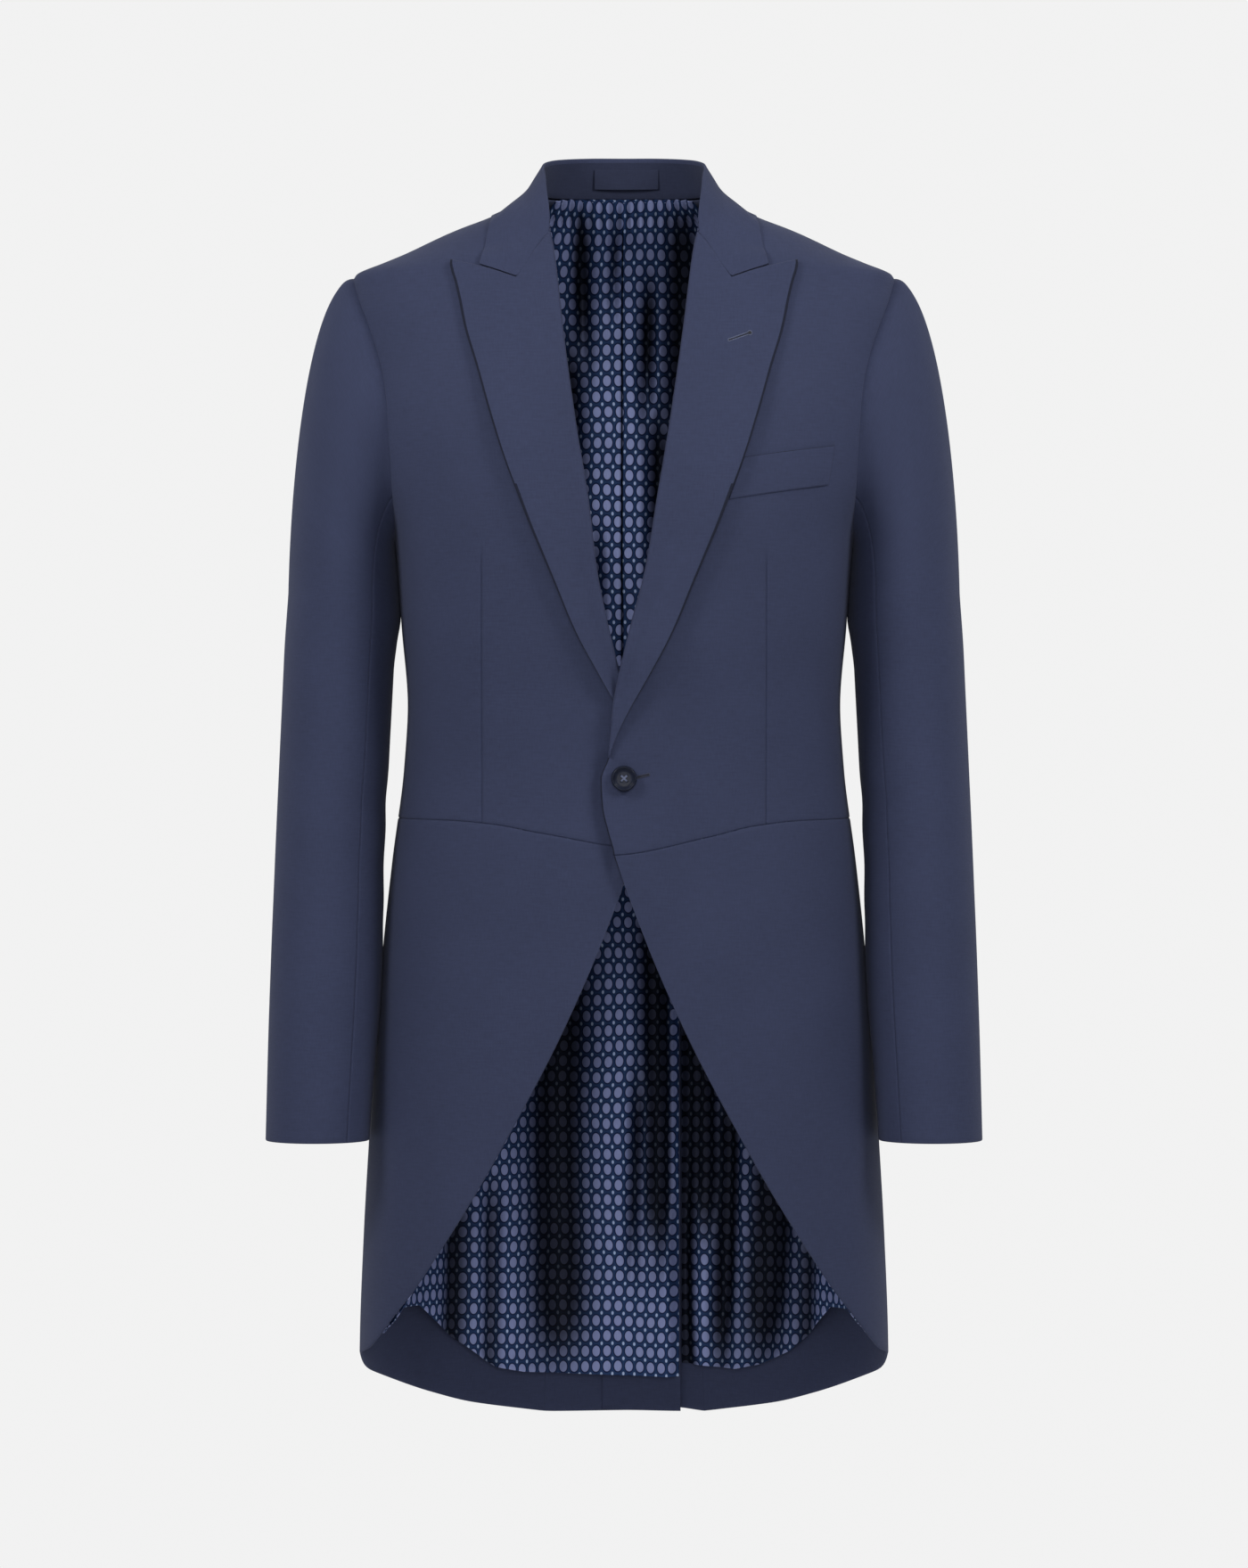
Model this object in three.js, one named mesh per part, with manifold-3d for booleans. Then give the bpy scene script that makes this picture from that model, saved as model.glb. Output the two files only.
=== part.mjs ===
// Navy morning coat: a cutaway tailcoat with peak lapels and one button, filled out as if worn.
// Millimetres. Z is up, the front faces -Y and the wearer's left is +X.
// The origin is on the centre line between the shoulders, level with the foot of the collar.
import * as THREE from "three";
import { mergeVertices } from "three/addons/utils/BufferGeometryUtils.js";
import Module from "manifold-3d";

const wasm = await Module();
wasm.setup();

// Driving dimensions
const CLOTH = 2;
const LINING = 1.2;
const SEAM_GAP = 0.3;
const LAYER_GAP = 0.7;
const LINING_GAP = 1.4;
const WAIST_FRONT_Z = -494;
const WAIST_SIDE_Z = -468;
const WAIST_BACK_Z = -456;
const LAP_LIFT = 5.2;
const VENT_UNDERLAP = 48;
const HEM_TURN_UP = 34;
const CUTAWAY_FACING = 16;
const BUTTON_DIAMETER = 20;
const BUTTON_THICKNESS = 4.2;
const BUTTON_HOLE = 2;
const BUTTON_HOLE_OFFSET = 2.3;
const BUTTON_Z = -437;
const SLEEVE_JOIN_Z = -290;
const CUFF_Z = -721;

// Turns rows of numbers into records with named columns.
const table = (columns, rows) =>
  rows.map((row) => Object.fromEntries(columns.map((name, index) => [name, row[index]])));

// Body sections from the neck down: half width, depth in front of and behind the side line,
// and the power that makes the oval fuller at its corners.
const BODY = table(["z", "half", "front", "back", "power"], [
  [46, 58, 36, 66, 2.0],
  [30, 68, 45, 75, 2.0],
  [17, 90, 54, 84, 2.1],
  [8, 110, 58, 89, 2.15],
  [0, 131, 62, 93, 2.2],
  [-9, 152, 66, 97, 2.25],
  [-18, 173, 70, 100, 2.3],
  [-26, 192.5, 74, 103, 2.4],
  [-36, 214.5, 78, 106, 2.5],
  [-42, 217, 81, 108, 2.5],
  [-60, 216, 89, 112, 2.6],
  [-100, 211, 105, 119, 2.7],
  [-150, 206, 122, 124, 2.7],
  [-200, 196, 133, 127, 2.6],
  [-245, 183, 138, 126, 2.5],
  [-320, 176.5, 136, 117, 2.4],
  [-378, 172, 130, 109, 2.35],
  [-430, 175, 127, 106, 2.3],
  [-500, 184, 131, 117, 2.3],
  [-575, 192, 135, 132, 2.3],
  [-650, 198, 137, 143, 2.3],
  [-728, 203, 138, 149, 2.3],
  [-800, 207, 139, 154, 2.3],
  [-880, 210, 140, 158, 2.3],
  [-960, 211, 140, 161, 2.3],
]);

// Front edge and roll line of each forepart, from the waist seam up, as distances from the
// centre line towards the piece's own side.
const FRONT_EDGE = table(["z", "left", "right"], [
  [-494, -8, -8],
  [-479, -12.4, -12.4],
  [-458, -17, -17],
  [-437, -18, -18],
  [-420, -12, -13],
  [-379, -8.3, -3],
  [-356, -4, 3],
  [-315, 6, 13],
  [-274, 16.5, 21],
  [-220, 25.5, 27.5],
  [-166, 34.5, 36.5],
  [-94, 45, 46.5],
  [-21, 54.5, 55],
  [-9, 57, 57.5],
]);

// Outer edge of each lapel, from the peak to where it runs out above the button.
const LAPEL_EDGE = table(["x", "z"], [
  [135.5, -31],
  [130, -57],
  [123.5, -87],
  [113, -121],
  [104.5, -150],
  [91.5, -190],
  [79, -223],
  [55, -281],
  [38, -322],
  [19.5, -356],
  [-3, -398],
  [-11.5, -419],
]);

// Gorge: where the lapel meets the collar, from the roll line to the inner end of the notch.
const GORGE = table(["x", "z"], [
  [57, -9],
  [62, -14],
  [84, -45.5],
]);
const PEAK_TIP = { x: 135.5, z: -31 };

// Neck seam from the front of the gorge to the neck point on the shoulder seam.
const NECK_FRONT = table(["x", "z"], [
  [57, -9],
  [60.5, 5],
  [64, 15],
  [68, 22],
]);
const NECK_POINT = { x: 72, z: 27 };
const NECK_BACK_Z = 31;
const SHOULDER_Z = -38;

// Cutaway edge of the skirt and hem round to the centre back.
const CUTAWAY = table(["x", "z"], [
  [3, -527],
  [23, -578],
  [52, -642],
  [83, -701],
  [117, -761],
  [148, -810],
  [175, -848],
  [200, -882],
]);
const HEM = table(["turn", "z"], [
  [90, -893],
  [100, -907],
  [110, -917],
  [127, -935.5],
  [137, -944.8],
  [150, -951.5],
  [160, -955],
  [180, -957],
]);

// Armhole, from the top forwards and round, as depth and height on the body.
const ARMHOLE = table(["y", "z"], [
  [3, -38],
  [-30, -58],
  [-57, -100],
  [-72, -152],
  [-64, -205],
  [-36, -240],
  [2, -251],
  [42, -240],
  [72, -200],
  [79, -145],
  [67, -92],
  [39, -54],
]);
const UNDERARM_TURN = 84;
const SIDE_BACK_TURN = 163;

// Sleeve rings below the head: centre, half width across and half depth.
const SLEEVE = table(["z", "x", "y", "across", "depth"], [
  [-290, 224.5, 0, 42.5, 70],
  [-340, 226.5, -2, 43.8, 66],
  [-400, 229.2, -6, 43.6, 62],
  [-470, 232.5, -14, 43, 58],
  [-540, 234.7, -25, 43.1, 55],
  [-620, 237.5, -38, 42.5, 51.5],
  [-721, 241, -54, 40.8, 48],
]);
const FOREARM_SEAM = -38;
const HINDARM_SEAM = 196;

// Collar stations from the centre back to the gorge: seam, fold, middle of the fall and edge.
const COLLAR = table(["seam", "fold", "fall", "edge"], [
  [[0, 74.5, 32], [0, 73, 64], [0, 79, 43], [0, 88, 17]],
  [[27, 69, 31.5], [25, 68, 63.5], [27, 75, 42], [32, 83, 16]],
  [[49, 53, 30], [46, 51, 61], [52, 58, 40], [62, 67, 14]],
  [[64, 29, 28.5], [59, 27, 57], [68, 31, 36], [86, 37, 11]],
  [[70, 4, 27], [64, 3, 51.5], [76, 2, 32], [102, 1, 9]],
  [[68, -29.9, 23], [63, -20, 41], [78, -25, 24], [106, -39.9, 2]],
  [[64.5, -44.2, 15], [61.5, -40, 26], [78, -46, 10], [108, -51.6, -8]],
  [[60.5, -57.3, 2], [59.5, -55, 10], [78, -63.1, -12], [110, -62.3, -20]],
  [[58, -63.6, -6.5], [58, -63.2, -5.5], [84, -80.4, -42], [113, -71, -30.8]],
]);

const WELT_CORNERS = table(["x", "z"], [
  [93, -188],
  [164, -177],
  [159, -208],
  [81, -221],
]);

const NAVY = 0x3a4060;
const NAVY_LIGHT = 0x414768;
const NAVY_SHADE = 0x2a3048;
const LINING_BLUE = 0x34447c;
const BUTTON_BLACK = 0x15161c;

// Smooth value of a column between the rows of a table, without overshoot.
const slopes = (xs, ys) => {
  const steps = xs.slice(1).map((x, i) => (ys[i + 1] - ys[i]) / (x - xs[i]));
  return xs.map((_, i) => {
    if (i === 0) return steps[0];
    if (i === xs.length - 1) return steps[i - 1];
    const product = steps[i - 1] * steps[i];
    return product <= 0 ? 0 : (2 * product) / (steps[i - 1] + steps[i]);
  });
};

const column = (rows, key, name) => {
  const sorted = [...rows].sort((a, b) => a[key] - b[key]);
  const xs = sorted.map((row) => row[key]);
  const ys = sorted.map((row) => row[name]);
  const ms = slopes(xs, ys);
  return (at) => {
    const x = Math.min(Math.max(at, xs[0]), xs[xs.length - 1]);
    let i = xs.findIndex((value) => value >= x);
    i = Math.max(i, 1);
    const width = xs[i] - xs[i - 1];
    const t = (x - xs[i - 1]) / width;
    const h00 = (1 + 2 * t) * (1 - t) ** 2;
    const h10 = t * (1 - t) ** 2;
    const h01 = t * t * (3 - 2 * t);
    const h11 = t * t * (t - 1);
    return h00 * ys[i - 1] + h10 * width * ms[i - 1] + h01 * ys[i] + h11 * width * ms[i];
  };
};

const mix = (a, b, t) => a + (b - a) * t;
const ease = (from, to, at) => THREE.MathUtils.smoothstep((at - from) / (to - from), 0, 1);
const radians = THREE.MathUtils.degToRad;
const degrees = THREE.MathUtils.radToDeg;

// Body surface: turn 0 is the front, 90 the wearer's left side and 180 the back.
const halfAt = column(BODY, "z", "half");
const frontAt = column(BODY, "z", "front");
const backAt = column(BODY, "z", "back");
const powerAt = column(BODY, "z", "power");
const depthAt = (z, behind) => (behind ? backAt(z) : frontAt(z));

const bodyPoint = (turn, z) => {
  const across = Math.sin(radians(turn));
  const along = Math.cos(radians(turn));
  const power = powerAt(z);
  const a = Math.abs(across / halfAt(z)) ** power;
  const b = Math.abs(along / depthAt(z, along < 0)) ** power;
  const radius = (a + b) ** (-1 / power);
  return new THREE.Vector3(radius * across, -radius * along, z);
};

const level = (x, y, z) => {
  const power = powerAt(z);
  return Math.abs(x / halfAt(z)) ** power + Math.abs(y / depthAt(z, y > 0)) ** power;
};

const bodyNormal = (turn, z) => {
  const p = bodyPoint(turn, z);
  const step = 0.5;
  const slope = (dx, dy, dz) =>
    level(p.x + dx, p.y + dy, p.z + dz) - level(p.x - dx, p.y - dy, p.z - dz);
  return new THREE.Vector3(slope(step, 0, 0), slope(0, step, 0), slope(0, 0, step)).normalize();
};

const onBody = (turn, z, lift) => bodyPoint(turn, z).addScaledVector(bodyNormal(turn, z), lift);

const frontTurn = (x, z) => {
  const share = Math.min(Math.abs(x) / halfAt(z), 1);
  const y = frontAt(z) * (1 - share ** powerAt(z)) ** (1 / powerAt(z));
  return degrees(Math.atan2(x, y));
};

const sideTurn = (y, z) => {
  const share = Math.min(Math.abs(y) / depthAt(z, y > 0), 1);
  const x = halfAt(z) * (1 - share ** powerAt(z)) ** (1 / powerAt(z));
  return degrees(Math.atan2(x, -y));
};

// A smooth path through [turn, z] pairs, read by its share of the way along.
const TURN_SCALE = 3;
const path = (pairs) => {
  const points = pairs.map(([turn, z]) => new THREE.Vector3(turn * TURN_SCALE, z, 0));
  const curve = new THREE.CatmullRomCurve3(points, false, "centripetal");
  return (t) => {
    const p = curve.getPointAt(Math.min(Math.max(t, 0), 1));
    return [p.x / TURN_SCALE, p.y];
  };
};

// Several paths run one after another, each to its own share of the whole.
const chain = (...legs) => (t) => {
  let start = 0;
  for (const [end, leg] of legs) {
    if (t <= end || end === 1) return leg((t - start) / (end - start));
    start = end;
  }
  return null;
};

// A four-sided patch between four edge paths.
const patch = ({ bottom, top, left, right }) => (u, v) =>
  [0, 1].map((k) => {
    const across = mix(left(v)[k], right(v)[k], u);
    const up = mix(bottom(u)[k], top(u)[k], v);
    const corners = mix(mix(bottom(0)[k], bottom(1)[k], u), mix(top(0)[k], top(1)[k], u), v);
    return across + up - corners;
  });

// A closed wall between two grids of points, drawn in from its edges by half a seam gap.
const wall = (columns, rows, sheet, trim = SEAM_GAP / 2) => {
  const grids = [[], []];
  for (let j = 0; j <= rows; j += 1) {
    for (let i = 0; i <= columns; i += 1) {
      const [outer, inner] = sheet(i / columns, j / rows);
      grids[0].push(outer);
      grids[1].push(inner);
    }
  }
  const at = (i, j) => j * (columns + 1) + i;
  const draw = (grid, from, to) => {
    const way = grid[to].clone().sub(grid[from]);
    const length = way.length();
    if (length > trim * 1.5) grid[from].addScaledVector(way, trim / length);
  };
  for (const grid of grids) {
    for (let j = 0; j <= rows; j += 1) {
      draw(grid, at(0, j), at(1, j));
      draw(grid, at(columns, j), at(columns - 1, j));
    }
    for (let i = 0; i <= columns; i += 1) {
      draw(grid, at(i, 0), at(i, 1));
      draw(grid, at(i, rows), at(i, rows - 1));
    }
  }
  const count = grids[0].length;
  const faces = [];
  const quad = (a, b, c, d) => faces.push(a, b, c, a, c, d);
  for (let j = 0; j < rows; j += 1) {
    for (let i = 0; i < columns; i += 1) {
      quad(at(i, j), at(i + 1, j), at(i + 1, j + 1), at(i, j + 1));
      quad(count + at(i, j), count + at(i, j + 1), count + at(i + 1, j + 1), count + at(i + 1, j));
    }
  }
  const rim = [];
  for (let i = 0; i < columns; i += 1) rim.push(at(i, 0));
  for (let j = 0; j < rows; j += 1) rim.push(at(columns, j));
  for (let i = columns; i > 0; i -= 1) rim.push(at(i, rows));
  for (let j = rows; j > 0; j -= 1) rim.push(at(0, j));
  rim.forEach((a, k) => {
    const b = rim[(k + 1) % rim.length];
    quad(b, a, count + a, count + b);
  });
  return solid([...grids[0], ...grids[1]], faces);
};

const volume = (points, faces) => {
  let total = 0;
  for (let f = 0; f < faces.length; f += 3) {
    const [a, b, c] = [points[faces[f]], points[faces[f + 1]], points[faces[f + 2]]];
    total += a.dot(b.clone().cross(c)) / 6;
  }
  return total;
};

const solid = (points, faces) => {
  const turned = volume(points, faces) > 0 ? faces : faces.toReversed();
  const geometry = new THREE.BufferGeometry();
  const flat = points.flatMap((p) => [p.x, p.y, p.z]);
  geometry.setAttribute("position", new THREE.Float32BufferAttribute(flat, 3));
  geometry.setIndex(turned);
  geometry.computeVertexNormals();
  return geometry;
};

const coat = new THREE.Group();
const add = (name, geometry, color, roughness = 0.85) => {
  const material = new THREE.MeshStandardMaterial({ color, roughness, metalness: 0 });
  const mesh = new THREE.Mesh(geometry, material);
  mesh.name = name;
  coat.add(mesh);
  return mesh;
};

const SIDES = [
  { name: "left", sign: 1 },
  { name: "right", sign: -1 },
];

// A sheet of cloth on the body, between two lifts above its surface.
const bodySheet = (side, place, base = 0, thickness = CLOTH, extra = () => 0) => (u, v) => {
  const [turn, z] = place(u, v);
  const lift = base + extra(turn, z, u, v);
  const points = [onBody(turn, z, lift), onBody(turn, z, lift - thickness)];
  return points.map((p) => new THREE.Vector3(p.x * side.sign, p.y, p.z));
};

// The left forepart, lapel and skirt rise over the right ones near the centre line.
const lapOver = (side) => (turn, z) => {
  if (side.sign < 0) return 0;
  const x = bodyPoint(turn, z).x;
  const across = 1 - ease(20, 55, x);
  const above = ease(-300, -350, z);
  const below = ease(-600, -525, z);
  return LAP_LIFT * across * above * below;
};

// Seams shared by neighbouring pieces
const armholeLoop = new THREE.CatmullRomCurve3(
  ARMHOLE.map(({ y, z }) => new THREE.Vector3(0, y, z)),
  true,
  "centripetal",
);
const armholeAt = (share) => {
  const p = armholeLoop.getPoint(((share % 1) + 1) % 1);
  return [sideTurn(p.y, p.z), p.z];
};
const UNDERARM_SHARE = 5.4 / 12;
const SIDE_BACK_SHARE = 8 / 12;
const waistAt = (turn) => {
  const front = mix(WAIST_FRONT_Z, WAIST_SIDE_Z, ease(-5, 80, turn));
  return turn < 80 ? front : mix(WAIST_SIDE_Z, WAIST_BACK_Z, ease(80, 163, turn));
};
const frontEdge = (side) => {
  const x = column(FRONT_EDGE, "z", side.name);
  return (z) => [frontTurn(x(z), z), z];
};
const neckFront = path([
  ...NECK_FRONT.map(({ x, z }) => [frontTurn(x, z), z]),
  [90, NECK_POINT.z],
]);
const underarmSeam = path([
  [UNDERARM_TURN, waistAt(UNDERARM_TURN)],
  [86, -360],
  armholeAt(UNDERARM_SHARE),
]);
const sideBackSeam = path([
  [SIDE_BACK_TURN, waistAt(SIDE_BACK_TURN)],
  [158, -380],
  [143, -290],
  [126, -228],
  armholeAt(SIDE_BACK_SHARE),
]);
const tailSeam = path([
  [157, -957],
  [158, -800],
  [160, -650],
  [162, -540],
  [SIDE_BACK_TURN, waistAt(SIDE_BACK_TURN)],
]);
const shoulderSeam = (t) => [90, mix(NECK_POINT.z, SHOULDER_Z, t)];
const neckBack = (t) => [mix(180, 90, t), mix(NECK_BACK_Z, NECK_POINT.z, t)];

// Foreparts
const FOREPART_GRID = { columns: 10, rows: 21 };
for (const side of SIDES) {
  const edge = frontEdge(side);
  const place = patch({
    bottom: (t) => {
      const start = edge(WAIST_FRONT_Z)[0];
      const turn = mix(start, UNDERARM_TURN, t);
      return [turn, waistAt(turn)];
    },
    top: shoulderSeam,
    left: chain(
      [16 / 21, (t) => edge(mix(WAIST_FRONT_Z, GORGE[0].z, t))],
      [1, neckFront],
    ),
    right: chain(
      [9 / 21, underarmSeam],
      [1, (t) => armholeAt(mix(UNDERARM_SHARE, 0, t))],
    ),
  });
  const { columns, rows } = FOREPART_GRID;
  const sheet = bodySheet(side, place, 0, CLOTH, lapOver(side));
  add(`forepart_${side.name}`, wall(columns, rows, sheet), NAVY);
}

// Side bodies
for (const side of SIDES) {
  const place = patch({
    bottom: (t) => {
      const turn = mix(UNDERARM_TURN, SIDE_BACK_TURN, t);
      return [turn, waistAt(turn)];
    },
    top: (t) => armholeAt(mix(UNDERARM_SHARE, SIDE_BACK_SHARE, t)),
    left: underarmSeam,
    right: sideBackSeam,
  });
  add(`side_body_${side.name}`, wall(9, 9, bodySheet(side, place)), NAVY);
}

// Backs, from the neck to the hem, open below the waist as a centre vent
const hemAt = column(HEM, "turn", "z");
for (const side of SIDES) {
  const place = patch({
    bottom: (t) => {
      const turn = mix(180, 157, t);
      return [turn, hemAt(turn)];
    },
    top: shoulderSeam,
    left: chain(
      [23 / 28, (t) => [180, mix(hemAt(180), NECK_BACK_Z, t)]],
      [1, neckBack],
    ),
    right: chain(
      [9 / 28, tailSeam],
      [18 / 28, sideBackSeam],
      [1, (t) => armholeAt(mix(SIDE_BACK_SHARE, 1, t))],
    ),
  });
  add(`back_${side.name}`, wall(8, 28, bodySheet(side, place)), NAVY);
}

// Skirts, hung from the waist seam and cut away in front
const cutaway = path([
  ...CUTAWAY.map(({ x, z }) => [frontTurn(x, z), z]),
  ...HEM.slice(0, 6).map(({ turn, z }) => [turn, z]),
]);
const CUTAWAY_SAMPLES = 200;
const cutawayAt = (turn) => {
  let best = cutaway(0);
  for (let i = 1; i <= CUTAWAY_SAMPLES; i += 1) {
    const next = cutaway(i / CUTAWAY_SAMPLES);
    if (next[0] >= turn) {
      const t = (turn - best[0]) / (next[0] - best[0]);
      return mix(best[1], next[1], Math.min(Math.max(t, 0), 1));
    }
    best = next;
  }
  return best[1];
};
const skirtPlace = (side) => {
  const top = frontEdge(side)(WAIST_FRONT_Z)[0];
  const start = frontTurn(CUTAWAY[0].x, CUTAWAY[0].z);
  return patch({
    top: (t) => {
      const turn = mix(top, SIDE_BACK_TURN, t);
      return [turn, waistAt(turn)];
    },
    bottom: (t) => {
      const turn = mix(start, 157, t);
      return [turn, turn < 140 ? cutawayAt(turn) : hemAt(turn)];
    },
    left: (t) => [mix(start, top, t), mix(CUTAWAY[0].z, WAIST_FRONT_Z, t)],
    right: tailSeam,
  });
};
for (const side of SIDES) {
  const sheet = bodySheet(side, skirtPlace(side), 0, CLOTH, lapOver(side));
  add(`skirt_${side.name}`, wall(20, 10, sheet), NAVY);
}

// The underlap sewn to the wearer's right back, inside the vent
const ventTurn = (x, z) => 180 - degrees(Math.atan2(x, backAt(z)));
const underlap = (u, v) => {
  const z = mix(hemAt(180) + 3, WAIST_BACK_Z - 4, v);
  return [ventTurn(mix(VENT_UNDERLAP, -18, u), z), z];
};
const UNDERLAP_LIFT = -CLOTH - LAYER_GAP;
add("vent_underlap", wall(5, 16, bodySheet(SIDES[0], underlap, UNDERLAP_LIFT, 1.6)), NAVY_SHADE);

// Lapels, folded back over the foreparts
const gorgeTurns = (rows) => rows.map(({ x, z }) => [frontTurn(x, z), z]);
const lapelEdge = path(gorgeTurns(LAPEL_EDGE));
const gorgePath = path(gorgeTurns(GORGE));
const peakPath = path(gorgeTurns([GORGE[2], { x: 113, z: -37.3 }, PEAK_TIP]));
for (const side of SIDES) {
  const edge = frontEdge(side);
  const place = patch({
    top: chain([3 / 8, gorgePath], [1, peakPath]),
    bottom: (t) => [mix(edge(-418.5)[0], lapelEdge(1)[0], t), mix(-418.5, -420.5, t)],
    left: (t) => edge(mix(-418.5, GORGE[0].z, t)),
    right: (t) => lapelEdge(1 - t),
  });
  const roll = (turn, z, u, v) => {
    const fold = (1 - u) ** 2 * 1.6 * ease(-370, -290, z);
    const peak = 0.9 * u * ease(-130, -45, z);
    return fold + peak + lapOver(side)(turn, z, u, v);
  };
  const lift = LAYER_GAP + CLOTH;
  const sheet = bodySheet(side, place, lift, CLOTH, roll);
  add(`lapel_${side.name}`, wall(8, 20, sheet), NAVY_LIGHT);
}

// Collar: stand, fold and fall in one piece, from one gorge round the neck to the other
const collarLines = ["seam", "fold", "fall", "edge"].map((name) => {
  const half = COLLAR.map((row) => new THREE.Vector3(...row[name]));
  const other = half.slice(1).map((p) => new THREE.Vector3(-p.x, p.y, p.z));
  return new THREE.CatmullRomCurve3([...other.toReversed(), ...half], false, "centripetal");
});
const COLLAR_COLUMNS = 28;
const COLLAR_PROFILE = [
  [0, 0], [0, 0.35], [0, 0.7], [0, 1],
  [1, 0.25], [1, 0.6], [1, 1],
  [2, 0.35], [2, 0.7], [2, 1],
];
// Moves a point outwards until it lies at least this far above the body.
const settle = (p, lift) => {
  const turn = degrees(Math.atan2(p.x, -p.y));
  const normal = bodyNormal(turn, p.z);
  const height = p.clone().sub(bodyPoint(turn, p.z)).dot(normal);
  return height < lift ? p.addScaledVector(normal, lift - height) : p;
};
const COLLAR_LIFT = CLOTH / 2 + LAYER_GAP + 0.4;
const collarMiddle = (u, row) => {
  const [line, share] = COLLAR_PROFILE[row];
  const from = collarLines[line].getPoint(u);
  return settle(from.lerp(collarLines[line + 1].getPoint(u), share), COLLAR_LIFT);
};
const collarSheet = (u, v) => {
  const rows = COLLAR_PROFILE.length - 1;
  const row = Math.round(v * rows);
  const p = collarMiddle(u, row);
  const step = 0.01;
  const ahead = collarMiddle(Math.min(u + step, 1), row);
  const along = ahead.sub(collarMiddle(Math.max(u - step, 0), row));
  const above = collarMiddle(u, Math.min(row + 1, rows));
  const up = above.sub(collarMiddle(u, Math.max(row - 1, 0)));
  const normal = along.cross(up).normalize();
  return [p.clone().addScaledVector(normal, 1), p.clone().addScaledVector(normal, -1)];
};
add("collar", wall(COLLAR_COLUMNS, COLLAR_PROFILE.length - 1, collarSheet), NAVY_LIGHT);

// Sleeves: a quarter-round head from the armhole to a level ring, then rings to the cuff.
// The head of each top sleeve is a solid of its own, which keeps its hollow open.
const ringAt = ["x", "y", "across", "depth"].map((name) => column(SLEEVE, "z", name));
const ringPoint = (angle, z) => {
  const [x, y, across, depth] = ringAt.map((value) => value(z));
  const s = Math.sin(radians(angle));
  const c = Math.cos(radians(angle));
  return new THREE.Vector3(x + across * s, y - depth * c, z);
};
const ARMHOLE_CENTRE = new THREE.Vector3(190, 3, -147);
const HEAD_INSET = 0.85;
const UNDERARM_BULGE = 5;
const HEAD_SHARE = 0.42;
const sleevePoint = (angle, t) => {
  if (t > HEAD_SHARE) {
    return ringPoint(angle, mix(SLEEVE_JOIN_Z, CUFF_Z, (t - HEAD_SHARE) / (1 - HEAD_SHARE)));
  }
  const [turn, z] = armholeAt((90 - angle) / 360);
  const start = onBody(turn, z, -0.6);
  const inwards = ARMHOLE_CENTRE.clone().sub(start);
  inwards.x = 0;
  start.addScaledVector(inwards.normalize(), HEAD_INSET);
  const end = ringPoint(angle, SLEEVE_JOIN_Z);
  const swing = (t / HEAD_SHARE) * (Math.PI / 2);
  const under = Math.max(-Math.sin(radians(angle)), 0);
  const round = 0.9 * Math.sin(swing) ** 0.9 + 0.1 * (1 - Math.cos(swing));
  const out = mix(round, ease(0, 1, t / HEAD_SHARE), under);
  const down = 1 - Math.cos(swing);
  const x = mix(start.x, end.x, out) + UNDERARM_BULGE * under * Math.sin(2 * swing);
  return new THREE.Vector3(x, mix(start.y, end.y, out), mix(start.z, end.z, down));
};
const sleeveSheet = (side, from, to) => (u, v) => {
  const angle = mix(from, to, u);
  const step = 0.004;
  const p = sleevePoint(angle, v);
  const around = sleevePoint(angle + 1, v).sub(sleevePoint(angle - 1, v));
  const below = sleevePoint(angle, Math.min(v + step, 1));
  const along = below.sub(sleevePoint(angle, Math.max(v - step, 0)));
  const normal = along.cross(around).normalize();
  const inner = p.clone().addScaledVector(normal, -CLOTH);
  return [p, inner].map((q) => new THREE.Vector3(q.x * side.sign, q.y, q.z));
};
const HEAD_ROWS = 8;
const ARM_ROWS = 10;
const downSleeve = (v) => {
  const row = v * (HEAD_ROWS + ARM_ROWS);
  if (row <= HEAD_ROWS) return (row / HEAD_ROWS) * HEAD_SHARE;
  return mix(HEAD_SHARE, 1, (row - HEAD_ROWS) / ARM_ROWS);
};
for (const side of SIDES) {
  const top = sleeveSheet(side, FOREARM_SEAM, HINDARM_SEAM);
  const under = sleeveSheet(side, HINDARM_SEAM, FOREARM_SEAM + 360);
  const head = (u, v) => top(u, mix(0, HEAD_SHARE, v));
  const arm = (u, v) => top(u, mix(HEAD_SHARE, 1, v));
  add(`sleeve_head_${side.name}`, wall(15, HEAD_ROWS, head), NAVY);
  add(`top_sleeve_${side.name}`, wall(15, ARM_ROWS, arm), NAVY);
  const whole = (u, v) => under(u, downSleeve(v));
  add(`under_sleeve_${side.name}`, wall(9, HEAD_ROWS + ARM_ROWS, whole), NAVY);
}

// Breast welt on the wearer's left
const weltTurns = gorgeTurns(WELT_CORNERS);
const weltPlace = patch({
  top: path([weltTurns[0], weltTurns[1]]),
  bottom: path([weltTurns[3], weltTurns[2]]),
  left: path([weltTurns[3], weltTurns[0]]),
  right: path([weltTurns[2], weltTurns[1]]),
});
add("breast_welt", wall(6, 3, bodySheet(SIDES[0], weltPlace, LAYER_GAP + 1.4, 1.4)), NAVY);

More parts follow.
